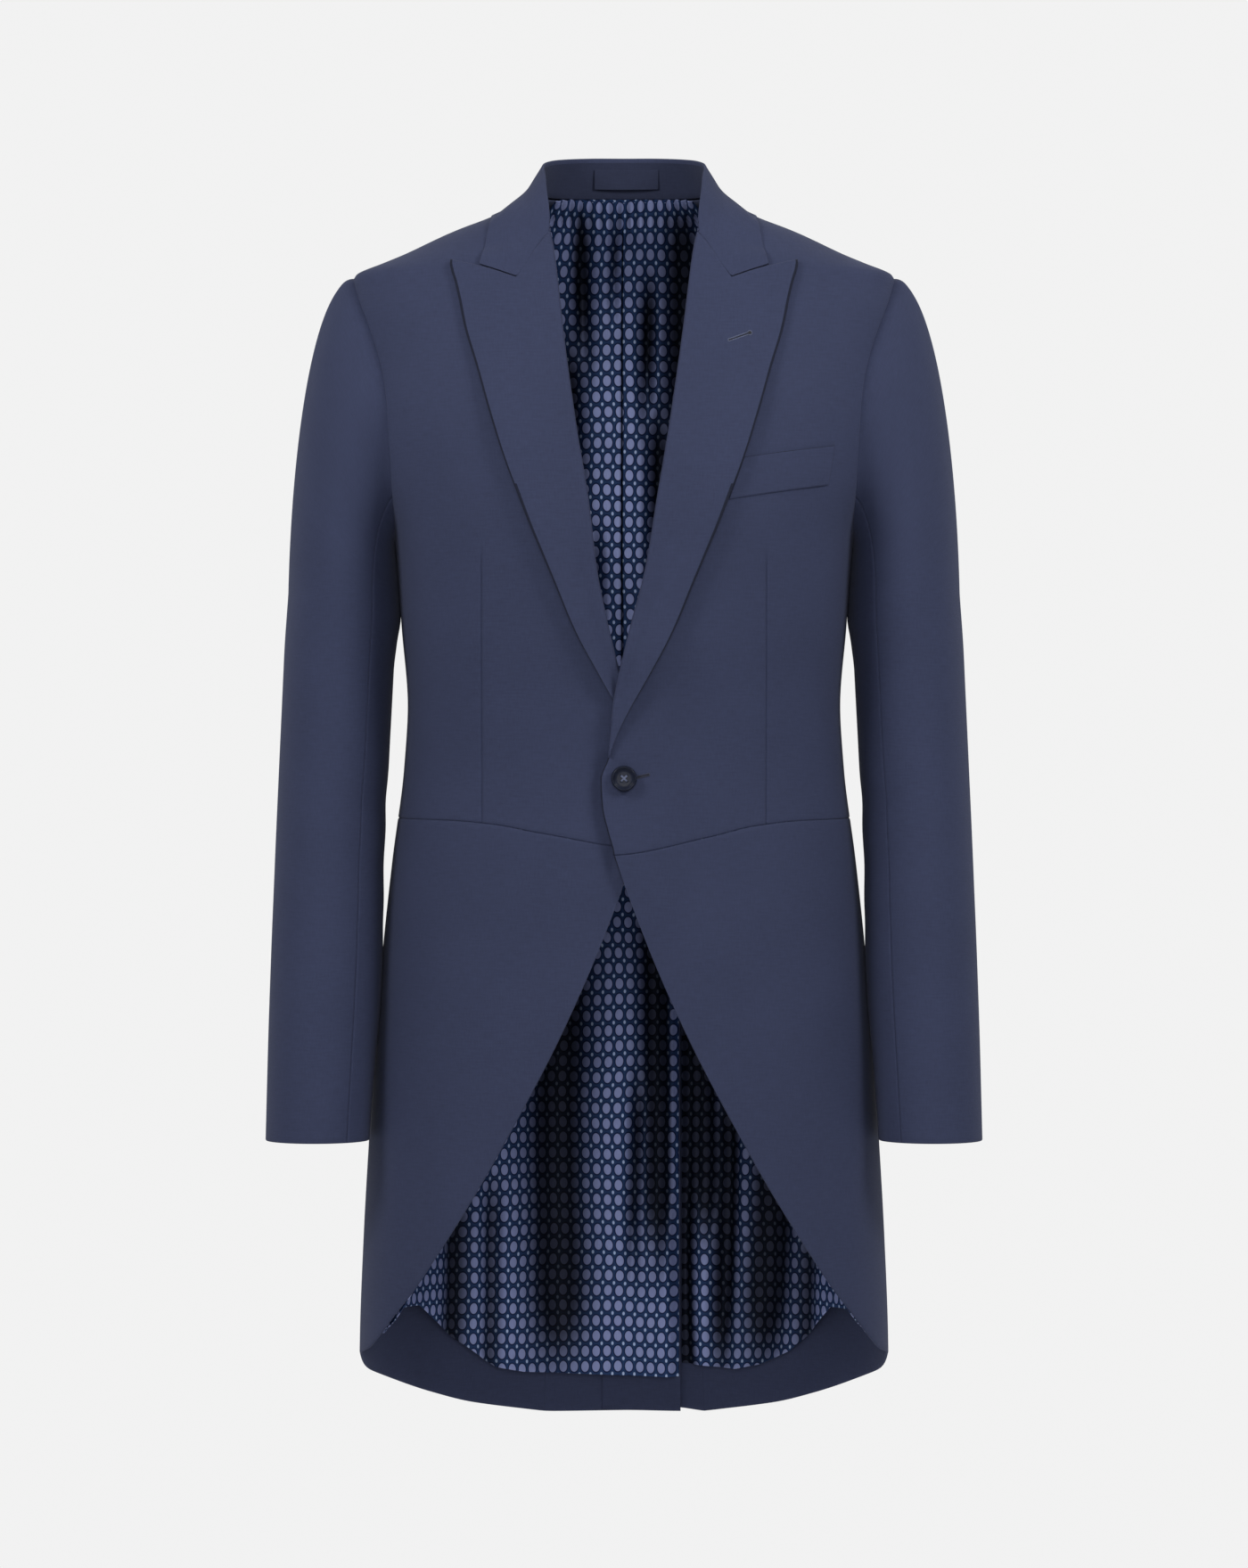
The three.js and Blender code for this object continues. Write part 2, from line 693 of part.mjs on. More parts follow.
// Back lining with an ease pleat down the centre and soft gathers under the collar
const BACK_LINING = { side: 106, spreadAbove: 56, top: 27, bottom: -448 };
const backLiningFold = (turn, z) => {
  const x = (turn - 180) * 2.2;
  const pleat = 3.2 * Math.exp(-((x / 7) ** 2));
  const gathers = 1.1 * (1 + Math.cos(x / 7)) * ease(-150, 10, z);
  return -(pleat + gathers);
};
const backLining = (u, v) => {
  const z = mix(BACK_LINING.bottom, BACK_LINING.top, v ** 0.8);
  const spread = mix(180 - BACK_LINING.side, BACK_LINING.spreadAbove, ease(-340, -220, z));
  return [180 + mix(-spread, spread, u), z];
};
const LINING_LIFT = -CLOTH - LINING_GAP;
const backLiningLift = LINING_LIFT - 1.2;
const backLiningSheet = bodySheet(SIDES[0], backLining, backLiningLift, LINING, backLiningFold);
add("back_lining", wall(20, 14, backLiningSheet), LINING_BLUE, 0.4);

// Skirt linings, hung in soft folds from the waist and clear of the hem
const LINING_FOLDS = table(["x", "depth", "width"], [
  [-118, 4.5, 16],
  [-62, 5.5, 14],
  [24, 4.5, 13],
  [76, 5.5, 15],
  [128, 4, 14],
]);
const UNDERLAP_COVER = 2.2;
const LINING_FRONT_TURN = 64;
const LINING_HEM_LEVEL = -920;
const liningHemAt = (turn) => {
  const near = Math.min(turn, 360 - turn);
  const cloth = near > 140 ? hemAt(near) : cutawayAt(near);
  return cloth + mix(HEM_TURN_UP, CUTAWAY_FACING, ease(100, 60, near));
};
for (const side of SIDES) {
  const inner = side.sign > 0 ? VENT_UNDERLAP + 1 : -(VENT_UNDERLAP - 1);
  const place = (u, v) => {
    const foot = mix(ventTurn(inner, LINING_HEM_LEVEL), LINING_FRONT_TURN, u);
    const z = mix(liningHemAt(foot), WAIST_BACK_Z - 8, v);
    return [mix(ventTurn(inner, z), LINING_FRONT_TURN, u), z];
  };
  const fold = (turn, z) => {
    const x = bodyPoint(turn, z).x * side.sign;
    const hang = ease(-470, -640, z);
    const waves = LINING_FOLDS.map((f) => f.depth * Math.exp(-(((x - f.x) / f.width) ** 2)));
    const cover = side.sign < 0 ? UNDERLAP_COVER * ease(-54, -30, x) : 0;
    return -cover - hang * waves.reduce((sum, wave) => sum + wave, 0);
  };
  const sheet = bodySheet(side, place, LINING_LIFT, LINING, fold);
  add(`skirt_lining_${side.name}`, wall(16, 12, sheet), LINING_BLUE, 0.4);
}

// Hanger patch on the inside of the collar stand
const hangerSheet = (u, v) => {
  const x = mix(-26, 26, u);
  const z = mix(39, 55, v);
  const y = 72.4 - 2.6 - (x * x) / 190;
  return [new THREE.Vector3(x, y, z), new THREE.Vector3(x, y - 1, z)];
};
add("hanger_patch", wall(6, 1, hangerSheet), NAVY_SHADE);

// Manifold solids for the button's holes
const toManifold = (geometry) => {
  const bare = geometry.clone();
  bare.deleteAttribute("normal");
  bare.deleteAttribute("uv");
  const merged = mergeVertices(bare, 1e-4);
  return new wasm.Manifold(new wasm.Mesh({
    numProp: 3,
    vertProperties: new Float32Array(merged.attributes.position.array),
    triVerts: new Uint32Array(merged.index.array),
  }));
};
const fromManifold = (manifold) => {
  const mesh = manifold.getMesh();
  const geometry = new THREE.BufferGeometry();
  geometry.setAttribute("position", new THREE.Float32BufferAttribute(mesh.vertProperties, 3));
  geometry.setIndex(Array.from(mesh.triVerts));
  geometry.computeVertexNormals();
  return geometry;
};

// Front button: a dished disc with a raised rim, four holes and a thread shank
const BUTTON_RADIUS = BUTTON_DIAMETER / 2;
const buttonProfile = [
  [0, 0],
  [BUTTON_RADIUS - 2.5, 0],
  [BUTTON_RADIUS - 0.6, 0.9],
  [BUTTON_RADIUS, 2.4],
  [BUTTON_RADIUS - 0.7, 3.9],
  [BUTTON_RADIUS - 1.7, BUTTON_THICKNESS],
  [BUTTON_RADIUS - 2.8, 3.5],
  [BUTTON_RADIUS - 3.6, 2.9],
  [0, 2.7],
].map(([radius, height]) => new THREE.Vector2(radius, height));
let button = toManifold(new THREE.LatheGeometry(buttonProfile, 28));
for (const [sx, sz] of [[1, 1], [1, -1], [-1, 1], [-1, -1]]) {
  const hole = new THREE.CylinderGeometry(BUTTON_HOLE / 2, BUTTON_HOLE / 2, 8, 10);
  hole.translate(sx * BUTTON_HOLE_OFFSET, 2, sz * BUTTON_HOLE_OFFSET);
  button = button.subtract(toManifold(hole));
}
const SHANK_LENGTH = 2.2;
const shank = new THREE.CylinderGeometry(1.6, 2.2, SHANK_LENGTH + 0.4, 12);
shank.translate(0, -SHANK_LENGTH / 2 + 0.2, 0);
button = button.add(toManifold(shank));
const buttonMesh = add("front_button", fromManifold(button), BUTTON_BLACK, 0.3);
const buttonSeat = onBody(0, BUTTON_Z, LAP_LIFT + SEAM_GAP + SHANK_LENGTH);
const buttonFacing = bodyNormal(0, BUTTON_Z);
buttonMesh.position.copy(buttonSeat);
buttonMesh.quaternion.setFromUnitVectors(new THREE.Vector3(0, 1, 0), buttonFacing);

export default coat;
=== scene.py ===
"""Navy morning coat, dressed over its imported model: cloth, lining, button and stitching."""
import math

import bmesh
import bpy
import numpy as np
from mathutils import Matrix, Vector


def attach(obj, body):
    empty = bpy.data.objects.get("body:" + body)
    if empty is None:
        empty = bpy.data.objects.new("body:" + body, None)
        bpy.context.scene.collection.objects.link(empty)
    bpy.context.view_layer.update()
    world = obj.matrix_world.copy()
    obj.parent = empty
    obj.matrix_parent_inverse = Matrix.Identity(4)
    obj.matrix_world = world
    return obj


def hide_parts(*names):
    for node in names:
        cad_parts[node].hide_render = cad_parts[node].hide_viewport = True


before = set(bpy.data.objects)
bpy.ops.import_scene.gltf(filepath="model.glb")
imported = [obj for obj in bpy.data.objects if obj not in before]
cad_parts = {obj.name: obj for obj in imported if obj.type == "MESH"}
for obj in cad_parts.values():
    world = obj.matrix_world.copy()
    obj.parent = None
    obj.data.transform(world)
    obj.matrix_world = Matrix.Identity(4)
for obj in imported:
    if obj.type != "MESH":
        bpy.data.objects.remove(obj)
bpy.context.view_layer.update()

bl_info = {
    "name": "Navy morning coat",
    "version": (1, 0, 0),
    "blender": (4, 5, 0),
    "location": "3D View > Sidebar > Coat",
    "description": "Cloth, lining, button and stitching, made over the packed model",
    "category": "Add Mesh",
}

# Lengths below are millimetres in the frame of the model: the front faces -Y, the wearer's left
# is +X, and the origin lies between the shoulders at the foot of the collar.
MM = 0.001
SIGN = {"left": 1.0, "right": -1.0}
CLOTH = 2.0
LINING = 1.0
LAYER_GAP = 0.7
LINING_GAP = 1.4
COLLAR_LIFT = CLOTH / 2 + 0.35
WAIST_FRONT_Z = {"left": -496.5, "right": -490.0}
WAIST_SIDE_Z = -468.0
WAIST_BACK_Z = -456.0
LAP_LIFT = 5.2
LAP_CURL = 1.6
LAP_DIP = 2.2
LAPEL_STAND = 4.6
SHOULDER_DROP = 1.6
DART_DEPTH = 1.0
VENT_UNDERLAP = 48.0
UNDERLAP_THICKNESS = 1.6
UNDERLAP_BACK_X = -18.0
CUTAWAY_FACING = 16.0
BUTTON_Z = -437.0
BUTTON_GAP = 2.5
WELT_THICKNESS = 0.8
PATCH_THICKNESS = 0.6
SLEEVE_JOIN_Z = -290.0
CUFF_Z = -721.0
NECK_POINT = (72.0, 27.0)
NECK_BACK_Z = 31.0
SHOULDER_Z = -38.0
UNDERARM_TURN = 84.0
SIDE_BACK_TURN = 163.0
UNDERARM_SHARE = 5.4 / 12
SIDE_BACK_SHARE = 8 / 12
FOREARM_SEAM = -38.0
HINDARM_SEAM = 196.0
DART_X = 110.5
BREAK_Z = -418.5
NECK_Z = -9.0
TAIL_TURN = 157.0
LEFT_TAIL_RISE = 4.5
FACING_WIDTH = 78.0
EDGES = ("left", "right", "bottom", "top")
# Columns along an open edge that take the painted edge shade
EDGE_SHADE_COLUMNS = slice(4)
# Rows of the collar's stand that take the painted collar shade
STAND_ROWS = slice(17)


def table(columns, rows):
    """Named columns of numbers."""
    return dict(zip(columns.split(), np.array(rows, float).T))


# Body sections: half width, depth before and behind the side line, fullness of the corners
BODY = table("z half front back power", [
    (46, 58, 36, 66, 2.0), (30, 68, 45, 75, 2.0), (17, 90, 54, 84, 2.1),
    (8, 110, 58, 89, 2.15), (0, 131, 62, 93, 2.2), (-9, 152, 66, 97, 2.25),
    (-18, 173, 70, 100, 2.3), (-26, 192.5, 74, 103, 2.4), (-36, 214.5, 78, 106, 2.5),
    (-42, 217, 81, 108, 2.5), (-60, 216, 89, 112, 2.6), (-100, 211, 105, 119, 2.7),
    (-150, 206, 122, 124, 2.7), (-200, 196, 133, 127, 2.6), (-245, 183, 138, 126, 2.5),
    (-320, 176.5, 136, 117, 2.4), (-378, 172, 130, 109, 2.35), (-430, 175, 127, 106, 2.3),
    (-500, 184, 131, 117, 2.3), (-575, 192, 135, 132, 2.3), (-650, 198, 137, 143, 2.3),
    (-728, 203, 138, 149, 2.3), (-800, 207, 139, 154, 2.3), (-880, 210, 140, 158, 2.3),
    (-960, 211, 140, 161, 2.3),
])

# Front edge and roll line of each forepart, as distances towards its own side
FRONT_EDGE = table("z left right", [
    (-494, -8, -8), (-479, -12.4, -12.4), (-458, -17, -17), (-437, -18, -18),
    (-420, -12, -13), (-379, -8.3, -3), (-356, -4, 3), (-315, 6, 13), (-274, 16.5, 21),
    (-220, 25.5, 27.5), (-166, 34.5, 36.5), (-94, 45, 46.5), (-21, 54.5, 55), (-9, 57, 57.5),
])

# Outline of a lapel, as distance from the centre line and height: open edge, gorge and peak
LAPEL_EDGE = [
    (135.5, -31), (130, -57), (123.5, -87), (113, -121), (104.5, -150), (91.5, -190),
    (79, -223), (55, -281), (38, -322), (19.5, -356), (-3, -398), (-11.5, -419),
]
GORGE = [(57, -9), (62, -14), (84, -45.5)]
PEAK = [(84, -45.5), (113, -35.9), (135.5, -30.8)]

# Seams of the forepart's neck and waist, and the lower edge of the skirt
NECK_FRONT = [(57, -9), (60.5, 5), (64, 15), (68, 22)]
WAIST_RISE = table("turn share", [(-12, 0), (-4, 0), (28, 0.5), (42, 0.8), (57, 0.95), (80, 1)])
CUTAWAY = [
    (3, -527), (23, -578), (52, -642), (83, -701), (117, -761), (148, -810), (175, -848),
    (200, -882),
]
HEM = table("turn z", [
    (90, -893), (100, -907), (110, -917), (127, -935.5), (137, -944.8), (150, -951.5),
    (160, -955), (180, -957),
])

# Armhole, from the top forwards and round, as depth and height
ARMHOLE = [
    (3, -38), (-30, -58), (-57, -100), (-72, -152), (-64, -205), (-36, -240), (2, -251),
    (42, -240), (72, -200), (79, -145), (67, -92), (39, -54),
]
SLEEVE = table("z x y across depth", [
    (-290, 224.5, 0, 42.5, 70), (-340, 226.5, -2, 43.8, 66), (-400, 229.2, -6, 43.6, 62),
    (-470, 232.5, -14, 43, 58), (-540, 234.7, -25, 43.1, 55), (-620, 237.5, -38, 42.5, 51.5),
    (-721, 241, -54, 40.8, 48),
])

# Extra fullness of a sleeve's inner side
SLEEVE_SLACK = table("z slack", [
    (-700, 0), (-650, 1.2), (-612, 2.5), (-580, 2.6), (-540, 1.9), (-490, 1.4), (-440, 0.6),
    (-400, 0), (-352, 0), (-328, 1.8), (-309, 4.5), (-290, 4.1), (-270, 3.8), (-256, 1.8),
    (-246, 0.3), (-238, 0),
])

# Collar lines from the centre back to the gorge
COLLAR = {
    "seam": [(0, 74.5, 32), (27, 69, 31.5), (49, 53, 30), (64, 29, 28.5), (70, 4, 27),
             (68, -29.9, 23), (64.5, -44.2, 15), (60.5, -57.3, 2), (58, -63.6, -6.5)],
    "fold": [(0, 73, 64), (25, 68, 63.5), (46, 51, 61), (59, 27, 57), (64, 3, 51.5),
             (63, -20, 41), (61.5, -40, 26), (59.5, -55, 10), (58.6, -63.4, -8)],
    "fall": [(0, 79, 43), (27, 75, 42), (52, 58, 40), (68, 31, 36), (76, 2, 32),
             (78, -25, 24), (78, -46, 9), (78, -63.1, -14), (83.6, -80.4, -44.7)],
    "edge": [(0, 88, 17), (32, 83, 16), (62, 67, 14), (86, 37, 11), (102, 1, 9),
             (106, -39.9, 2), (108, -51.6, -9), (110, -62.3, -22), (113, -71, -34.6)],
}

# Corners of the breast welt, as distance across and height
WELT_CORNERS = [(93, -188), (164, -177), (159, -208), (81, -221)]


# Curves through tables and points
def mix(a, b, t):
    return a + (b - a) * t


def ease(start, end, at):
    t = np.clip((np.asarray(at, float) - start) / (end - start), 0, 1)
    return t * t * (3 - 2 * t)


def bump(at, middle, width):
    return np.exp(-(((at - middle) / width) ** 2))


def column(rows, key, value):
    """Smooth value of one column against another, without overshoot."""
    order = np.argsort(rows[key])
    xs, ys = rows[key][order], rows[value][order]
    steps = np.diff(ys) / np.diff(xs)
    rising = steps[:-1] * steps[1:] > 0
    slope = np.concatenate([steps[:1], np.zeros(len(steps) - 1), steps[-1:]])
    total = np.where(rising, steps[:-1] + steps[1:], 1.0)
    slope[1:-1] = np.where(rising, 2 * steps[:-1] * steps[1:] / total, 0.0)

    def at(place):
        x = np.clip(place, xs[0], xs[-1])
        i = np.clip(np.searchsorted(xs, x), 1, len(xs) - 1)
        width = xs[i] - xs[i - 1]
        t = (x - xs[i - 1]) / width
        rise = (1 + 2 * t) * (1 - t) ** 2 * ys[i - 1] + t * t * (3 - 2 * t) * ys[i]
        return rise + t * (1 - t) * width * ((1 - t) * slope[i - 1] - t * slope[i])

    return at


def spline(points, closed=False):
    """Smooth curve through points, even between one point and the next."""
    points = np.array(points, float)
    if closed:
        ring = np.concatenate([points[-1:], points, points[:2]])
    else:
        ends = 2 * points[:1] - points[1:2], 2 * points[-1:] - points[-2:-1]
        ring = np.concatenate([ends[0], points, ends[1]])
    spans = len(ring) - 3
    gaps = np.maximum(np.linalg.norm(np.diff(ring, axis=0), axis=1), 1e-6) ** 0.5

    def at(share):
        share = np.asarray(share, float)
        place = (share % 1 if closed else np.clip(share, 0, 1)) * spans
        i = np.minimum(place.astype(int), spans - 1)
        w = (place - i)[..., None]
        p0, p1, p2, p3 = (ring[i + k] for k in range(4))
        d0, d1, d2 = (gaps[i + k][..., None] for k in range(3))
        m1 = ((p1 - p0) / d0 - (p2 - p0) / (d0 + d1) + (p2 - p1) / d1) * d1
        m2 = ((p2 - p1) / d1 - (p3 - p1) / (d1 + d2) + (p3 - p2) / d2) * d1
        cubic = 2 * p1 - 2 * p2 + m1 + m2
        square = -3 * p1 + 3 * p2 - 2 * m1 - m2
        return ((cubic * w + square) * w + m1) * w + p1

    return at


def even(curve, samples=400):
    """The same curve, read by the share of its length."""
    t = np.linspace(0, 1, samples + 1)
    way = reach(curve(t), 0)
    return lambda share: curve(np.interp(share, way / way[-1], t))


def reach(points, axis):
    """Distance from the start of each line of a grid."""
    steps = np.linalg.norm(np.diff(points, axis=axis), axis=-1)
    return np.insert(np.cumsum(steps, axis=axis), 0, 0.0, axis=axis)


def centred(values, axis):
    """Values less those of the grid's middle line."""
    return values - np.take(values, [values.shape[axis] // 2], axis=axis)


def pair(turn, z):
    return np.stack(np.broadcast_arrays(turn, z), -1)


TURN_SCALE = np.array([3.0, 1.0])


def path(pairs):
    """Smooth seam through pairs of turn and height."""
    curve = even(spline(np.array(pairs, float) * TURN_SCALE))
    return lambda share: curve(share) / TURN_SCALE


def chain(*legs):
    """Seams one after another, each up to its own share of the whole."""

    def at(share):
        share = np.asarray(share, float)
        out = np.zeros(share.shape + (2,))
        start = 0.0
        for end, leg in legs:
            part = (share >= start - 1e-9) & (share <= end + 1e-9)
            out[part] = leg(np.clip((share[part] - start) / (end - start), 0, 1))
            start = end
        return out

    return at


def patch(bottom, top, left, right):
    """Four-sided patch between four seams."""

    def place(u, v):
        a, b = u[..., None], v[..., None]
        zero, one = np.zeros_like(u), np.ones_like(u)
        across = mix(left(v), right(v), a)
        up = mix(bottom(u), top(u), b)
        low, high = mix(bottom(zero), bottom(one), a), mix(top(zero), top(one), a)
        return across + up - mix(low, high, b)

    return place


# Body surface: turn 0 is the front, 90 the wearer's left side and 180 the back
half_at = column(BODY, "z", "half")
front_at = column(BODY, "z", "front")
back_at = column(BODY, "z", "back")
power_at = column(BODY, "z", "power")


def depth_at(y, z):
    return np.where(y > 0, back_at(z), front_at(z))


def body_level(x, y, z):
    """Value that is 1 on the body surface and grows outwards."""
    return np.abs(x / half_at(z)) ** power_at(z) + np.abs(y / depth_at(y, z)) ** power_at(z)


def body_point(turn, z):
    turn, z = np.broadcast_arrays(np.radians(turn), np.asarray(z, float))
    x, y = np.sin(turn), -np.cos(turn)
    radius = body_level(x, y, z) ** (-1 / power_at(z))
    return np.stack([radius * x, radius * y, z], -1)


def unit(vectors):
    return vectors / np.maximum(np.linalg.norm(vectors, axis=-1, keepdims=True), 1e-9)


def body_normal(turn, z):
    x, y, height = np.moveaxis(body_point(turn, z), -1, 0)
    step = 0.5
    slopes = [
        body_level(x + step, y, height) - body_level(x - step, y, height),
        body_level(x, y + step, height) - body_level(x, y - step, height),
        body_level(x, y, height + step) - body_level(x, y, height - step),
    ]
    return unit(np.stack(slopes, -1))


def on_body(turn, z, lift):
    return body_point(turn, z) + body_normal(turn, z) * np.asarray(lift, float)[..., None]


def rest_share(share, z):
    """Share of one half axis that belongs to a share of the other on the body surface."""
    share = np.minimum(np.abs(share), 1)
    return (1 - share ** power_at(z)) ** (1 / power_at(z))


def front_turn(x, z):
    return np.degrees(np.arctan2(x, front_at(z) * rest_share(x / half_at(z), z)))


def side_turn(y, z):
    return np.degrees(np.arctan2(half_at(z) * rest_share(y / depth_at(y, z), z), -y))


def front_pairs(points):
    return [(float(front_turn(x, z)), z) for x, z in points]


GIRTH_Z = np.linspace(-965, 50, 204)
GIRTH_TURN = np.linspace(0, 180, 361)
GIRTH = reach(body_point(*np.meshgrid(GIRTH_TURN, GIRTH_Z)), 1)


def girth(turn, z):
    """Distance round the body from the centre front."""
    near = np.abs(turn)
    folded = np.where(near > 180, 360 - near, near)
    i = np.clip((z - GIRTH_Z[0]) / 5.0, 0, 202.999)
    j = np.clip(folded * 2.0, 0, 359.999)
    a, b = i.astype(int), j.astype(int)
    s, t = i - a, j - b
    low, high = mix(GIRTH[a, b], GIRTH[a, b + 1], t), mix(GIRTH[a + 1, b], GIRTH[a + 1, b + 1], t)
    way = mix(low, high, s)
    whole = mix(GIRTH[a, 360], GIRTH[a + 1, 360], s)
    return np.sign(turn) * np.where(near > 180, 2 * whole - way, way)


# Seams shared by neighbouring pieces
armhole_loop = spline(ARMHOLE, closed=True)


def armhole_at(share):
    y, z = np.moveaxis(armhole_loop(share), -1, 0)
    return pair(side_turn(y, z), z)


waist_rise = column(WAIST_RISE, "turn", "share")


def waist_at(turn, side="left"):
    front = mix(WAIST_FRONT_Z[side], WAIST_SIDE_Z, waist_rise(turn))
    return np.where(turn < 80, front, mix(WAIST_SIDE_Z, WAIST_BACK_Z, ease(80, 163, turn)))


def front_edge(side, inset=None):
    x = column(FRONT_EDGE, "z", side)

    def at(z):
        extra = 0 if inset is None else inset(z)
        return pair(front_turn(x(z) + extra, z), z)

    return at


neck_front = path(front_pairs(NECK_FRONT) + [(90, NECK_POINT[1])])
underarm_seam = path([
    (UNDERARM_TURN, float(waist_at(np.float64(UNDERARM_TURN)))),
    (86, -360),
    tuple(armhole_at(UNDERARM_SHARE)),
])
side_back_seam = path([
    (SIDE_BACK_TURN, WAIST_BACK_Z),
    (158, -380),
    (143, -290),
    (126, -228),
    tuple(armhole_at(SIDE_BACK_SHARE)),
])
tail_seam = path([
    (TAIL_TURN, -957), (158, -800), (160, -650), (162, -540), (SIDE_BACK_TURN, WAIST_BACK_Z),
])
hem_at = column(HEM, "turn", "z")
sleeve_slack = column(SLEEVE_SLACK, "z", "slack")
cutaway_line = path(front_pairs(CUTAWAY) + list(zip(HEM["turn"][:6], HEM["z"][:6])))
CUTAWAY_TURNS, CUTAWAY_HEIGHTS = cutaway_line(np.linspace(0, 1, 600)).T
lapel_line = path(front_pairs(LAPEL_EDGE))
gorge_line = path(front_pairs(GORGE))
peak_line = path(front_pairs(PEAK))


def shoulder_seam(t):
    return pair(90.0, mix(NECK_POINT[1], SHOULDER_Z, t))


def neck_back(t):
    return pair(mix(180.0, 90.0, t), mix(NECK_BACK_Z, NECK_POINT[1], t))


def cutaway_at(turn):
    return np.interp(turn, CUTAWAY_TURNS, CUTAWAY_HEIGHTS)


def lap_over(side):
    """Rise of the wearer's left front over the right one near the centre line."""

    def at(turn, z):
        if side == "right":
            return np.zeros_like(z)
        x = body_point(turn, z)[..., 0]
        below = ease(-600, -525, z) * ease(100, 80, turn)
        curl = LAP_CURL * (1 - ease(-12, 24, x)) * ease(-340, -400, z)
        return (LAP_LIFT * (1 - ease(20, 55, x)) * ease(-300, -350, z) + curl) * below

    return at


def user_size(name):
    """One of the lengths that a user may change, in millimetres."""
    return getattr(bpy.context.scene.coat_sizes, name) / MM


# Grids of points and closed walls between them
def edge_steps(kind, thickness):
    """Distances of close lines from an edge, and how far each face draws in there."""
    if kind == "free":
        radius = thickness / 2
        angle = np.radians([12, 32, 58, 90])
        drop = radius * (1 - np.sin(angle))
        return radius * (1 - np.cos(angle)), drop, drop
    if kind == "seam":
        steps = np.array([0.04, 0.3, 0.75, 1.5])
        drop = user_size("seam_depth") * (1 - steps / 1.5) ** 2
        return steps, drop, 0 * drop
    return np.array([0.1]), np.zeros(1), np.zeros(1)


def close_lines(grid, point, steps):
    """Puts lines of the grid at these distances from its first row."""
    first, second = grid[0], grid[1]
    gap = np.linalg.norm(point(*second.T) - point(*first.T), axis=-1)
    lines = []
    for k, step in enumerate(steps):
        share = np.minimum(step / np.maximum(gap, 1e-6), 0.9 * (k + 1) / len(steps))
        lines.append(first + (second - first) * share[:, None])
    return np.concatenate([np.stack(lines), grid[1:]])


def refine(grid, point, edges, thickness):
    """Adds close lines along the edges and gives the draw of the outer and inner faces."""
    drops = {0: [np.zeros(grid.shape[0])] * 2, 1: [np.zeros(grid.shape[1])] * 2}
    for name in EDGES:
        steps, outer, inner = edge_steps(edges.get(name, "seam"), thickness)
        axis = 1 if name in ("left", "right") else 0
        last = name in ("right", "top")
        grid = grid.swapaxes(0, 1) if axis else grid
        grid = grid[::-1] if last else grid
        grid = close_lines(grid, point, steps)
        grid = grid[::-1] if last else grid
        grid = grid.swapaxes(0, 1) if axis else grid
        for k, drop in enumerate((outer, inner)):
            old = drops[axis][k]
            joined = (old[:-1], drop[::-1]) if last else (drop, old[1:])
            drops[axis][k] = np.concatenate(joined)
    pairs = [np.maximum(drops[0][k][:, None], drops[1][k][None, :]) for k in (0, 1)]
    return grid, pairs[0], pairs[1]


def wrap(grid, surface, edges, base=0.0, thickness=CLOTH, lift=None):
    """Outer and inner faces of a sheet that lies on a surface."""
    point, normal = surface
    grid, draw_out, draw_in = refine(grid, point, edges, thickness)
    a, b = grid[..., 0], grid[..., 1]
    p, n = point(a, b), normal(a, b)
    height = base + (lift(a, b) if lift else 0)
    outer = p + n * (height - draw_out)[..., None]
    inner = p + n * (height - thickness + draw_in)[..., None]
    return outer, inner, grid


BODY_SURFACE = (body_point, body_normal)


def even_grid(columns, rows, place):
    u, v = np.meshgrid(np.linspace(0, 1, columns + 1), np.linspace(0, 1, rows + 1))
    return place(u, v)


def mirrored(points, side):
    return points * np.array([SIGN[side], 1.0, 1.0])


def volume(points, faces):
    a, b, c, d = (points[faces[:, k]] for k in range(4))
    first = np.einsum("ij,ij->i", a, np.cross(b, c)).sum()
    return first + np.einsum("ij,ij->i", a, np.cross(c, d)).sum()


def placed(name, data):
    """New object of the scene with this data."""
    made = bpy.data.objects.new(name, data)
    bpy.context.scene.collection.objects.link(made)
    return made


def smooth_faces(mesh, crease):
    """Smooth shading, but sharp at edges past this angle."""
    mesh.polygons.foreach_set("use_smooth", np.ones(len(mesh.polygons), bool))
    mesh.set_sharp_from_angle(angle=math.radians(crease))


